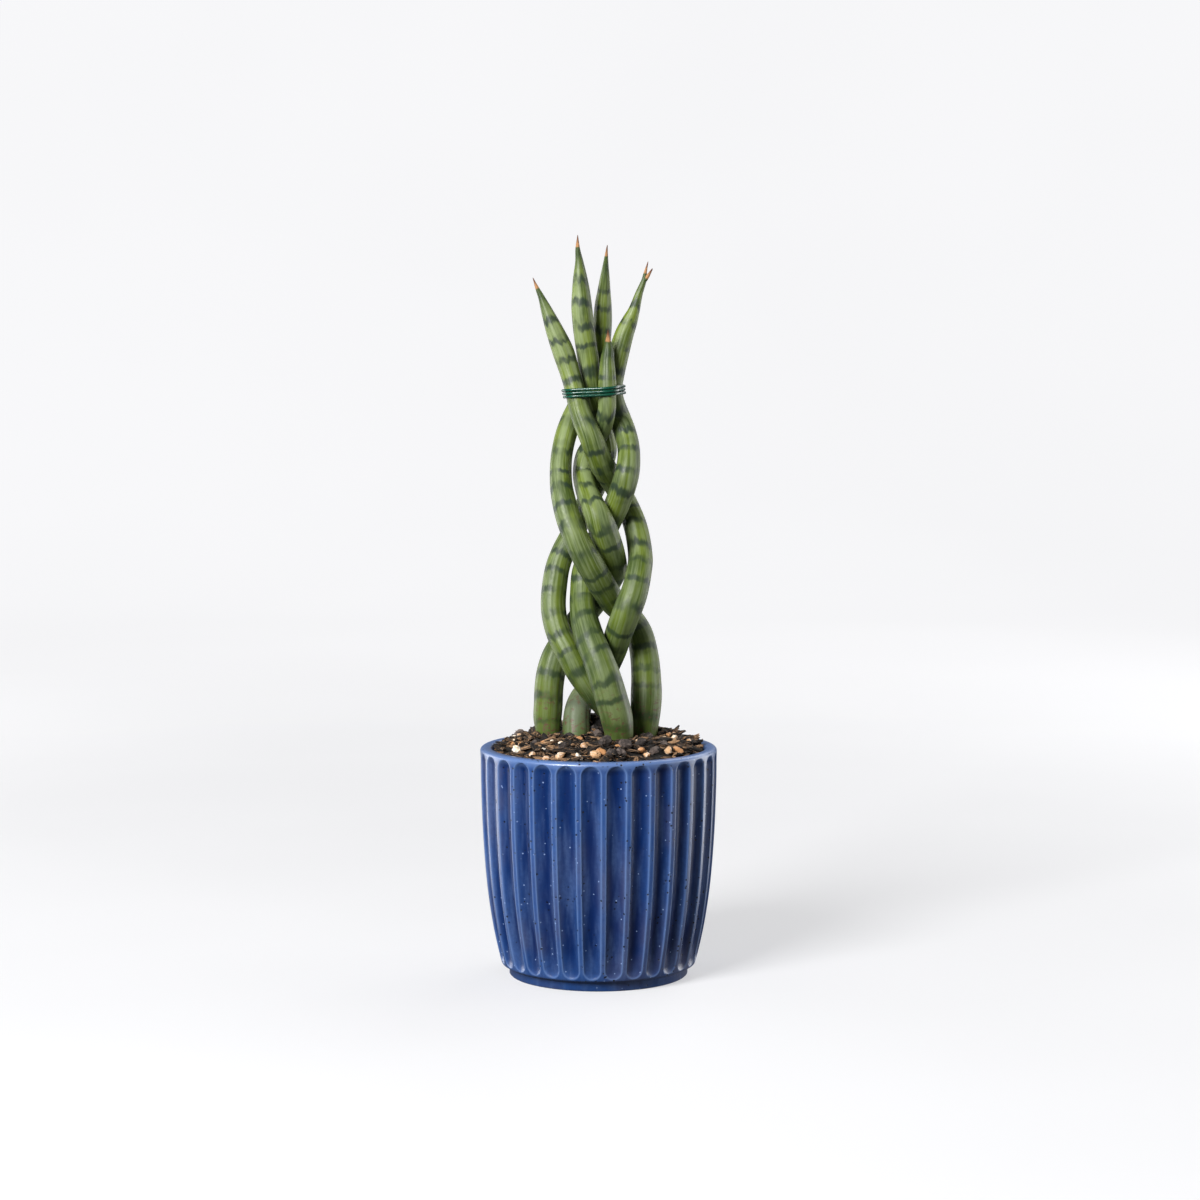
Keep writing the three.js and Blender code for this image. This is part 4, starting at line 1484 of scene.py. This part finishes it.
    def build(self, finishes: dict[str, bpy.types.Material]) -> None:
        """Make the mix's body and all its lumps.

        Args:
            finishes: Materials by name.
        """
        self.ground(finishes["crumbs"])
        draw = np.random.default_rng(self.seed)
        places = self.scatter(self.bark, self.bark.count, draw)
        count = len(places)
        sizes = np.stack([draw.uniform(*span, count) for span in self.bark_sizes_mm], 1) * MM
        rise = draw.uniform(0.0, self.bark_rise, count)
        tints = draw.uniform(0, 1, count)**self.bark_darkness
        self.lumps(self.bark, places, sizes, rise, tints, finishes["bark"])
        self.pebbles(self.pumice, PEBBLES_MM, draw, self.pumice_widths_mm, finishes["pumice"])
        self.pebbles(self.lava, LAVA_MM, draw, self.lava_widths_mm, finishes["lava"])


@dataclass(frozen=True)
class SoftLight:
    """Square soft light, with its place, the length of its side and its power."""

    name: str
    place: Triple
    size: float
    watts: float

    def hang(self, target: Triple) -> None:
        """Hang the light so that it faces a point.

        Args:
            target: Point that it faces.
        """
        lamp = bpy.data.lights.new(self.name, "AREA")
        lamp.size = self.size
        lamp.energy = self.watts
        holder = link_object(self.name, lamp)
        holder.location = self.place
        across, deep, up = np.array(target) - np.array(self.place)
        holder.rotation_euler = (math.pi / 2 + math.atan2(up, math.hypot(across, deep)), 0,
                                 math.atan2(-across, deep))


@dataclass
class Studio:
    """Pale sweep, soft lights and the camera at the photograph's angle."""

    camera_place: Triple = (0.95 * MM, -1.789, 0.3985)
    camera_pitch: float = math.radians(5.083)
    lens_mm: float = 85.0
    sensor_mm: float = 36.0
    lights: tuple[SoftLight, ...] = (
        SoftLight("key", (-1.1, -1.55, 1.25), 0.9, 77),
        SoftLight("left_edge", (-1.5, 0.9, 0.2), 1.2, 15),
        SoftLight("fill", (1.9, -0.2, 0.6), 1.2, 7),
        SoftLight("right_edge", (1.6, 0.8, 0.3), 1.4, 20),
        SoftLight("back", (0.9, 1.5, 1.5), 1.2, 12),
    )
    plant_middle: Triple = (0, 0, 0.25)
    surround: float = 0.125
    surround_tint: Colour = (0.97, 0.98, 1.0)
    floor_radius: float = 2.4
    curve_radius: float = 1.2
    curve_rows: int = 14
    wall_height: float = 6.0
    sweep_sides: int = 72
    paper_dark: Colour = (0.34, 0.34, 0.347)
    paper_pale: Colour = (0.36, 0.36, 0.367)
    glow_tint: Colour = (0.985, 0.985, 1)
    floor_glow: float = 0.50
    wall_glow: float = 0.80
    glow_start: float = 0.4
    glow_end: float = 2.6

    def paper(self) -> bpy.types.Material:
        """Make the sweep's material, which glows more strongly away from the plant.

        Returns:
            The material.
        """
        s = Shading("sweep_paper", 0.8)
        place = s.place()
        colour = s.mix(s.between(s.noise(place, 2.0, 2), 0.3, 0.7), self.paper_dark, self.paper_pale)
        distance = s.node("ShaderNodeVectorMath", operation="LENGTH")
        s.feed(distance.inputs[0], place)
        glow = s.between(distance.outputs["Value"], self.glow_start, self.glow_end,
                         self.floor_glow, self.wall_glow)
        s.feed(s.shader.inputs["Emission Strength"], glow)
        s.feed(s.shader.inputs["Emission Color"], self.glow_tint)
        return s.finish(colour, s.bump(s.noise(place, 900), 0.02 * MM, 0.1))

    def sweep(self) -> None:
        """Make the floor and backdrop as one round sheet that curves up all round the plant.

        Its profile is a flat floor, a quarter circle and an upright wall, turned round the
        upright axis. It shows to the camera alone and sends no light to the plant.
        """
        turn = np.linspace(0, math.pi / 2, self.curve_rows)
        curve = np.stack([self.floor_radius + self.curve_radius * np.sin(turn),
                          self.curve_radius * (1 - np.cos(turn))], 1)
        profile = np.vstack([curve, (self.floor_radius + self.curve_radius, self.wall_height)])
        rows = round_axis(profile[:, :1], even_turn(self.sweep_sides), profile[:, 1:])
        points = np.vstack([rows.reshape(-1, 3), (0, 0, 0)])
        side = np.arange(self.sweep_sides)
        beside = (side + 1) % self.sweep_sides
        floor = np.stack([beside, np.full_like(side, len(points) - 1), side], 1)
        wall = grid_faces(len(profile), self.sweep_sides)[:, ::-1]
        sheet = link_mesh("sweep", points, wall.tolist() + floor.tolist(), self.paper())
        sheet.visible_diffuse = False
        sheet.visible_glossy = False
        sheet.visible_shadow = False

    def build(self) -> None:
        """Make the sweep, the lights, the even surrounding light and the camera."""
        self.sweep()
        for light in self.lights:
            light.hang(self.plant_middle)
        world = bpy.data.worlds.new("room")
        world.use_nodes = True
        air = world.node_tree.nodes["Background"]
        air.inputs["Color"].default_value = (*self.surround_tint, 1)
        air.inputs["Strength"].default_value = self.surround
        scene = bpy.context.scene
        scene.world = world
        scene.view_settings.view_transform = "Standard"
        lens = bpy.data.cameras.new("camera")
        lens.lens = self.lens_mm
        lens.sensor_width = self.sensor_mm
        scene.camera = link_object("camera", lens)
        scene.camera.location = self.camera_place
        scene.camera.rotation_euler = (math.pi / 2 - self.camera_pitch, 0, 0)


def main() -> None:
    """Load the frame, then make and dress every piece."""
    logging.basicConfig(level=logging.INFO, format="%(name)s: %(message)s")
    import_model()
    Studio().build()
    skin = LeafSkin().build()
    ages = {"leaf_1": 1.0}
    prongs = {"leaf_4": PRONG_MM}
    leaves = [SnakeLeaf(name, route, seed, ages.get(name, 0.0), prongs.get(name, ()))
              for seed, (name, route) in enumerate(LEAF_ROUTES_MM.items(), start=1)]
    for leaf in leaves:
        leaf.build(skin)
    FlutedPot().build(PotGlaze().build())
    TieWire(leaves).build(WireCoating().build())
    PottingMix(leaves).build({finish.name: finish.build() for finish in EARTH_FINISHES})
    LOG.info("all pieces are made")


if __name__ == "__main__":
    main()
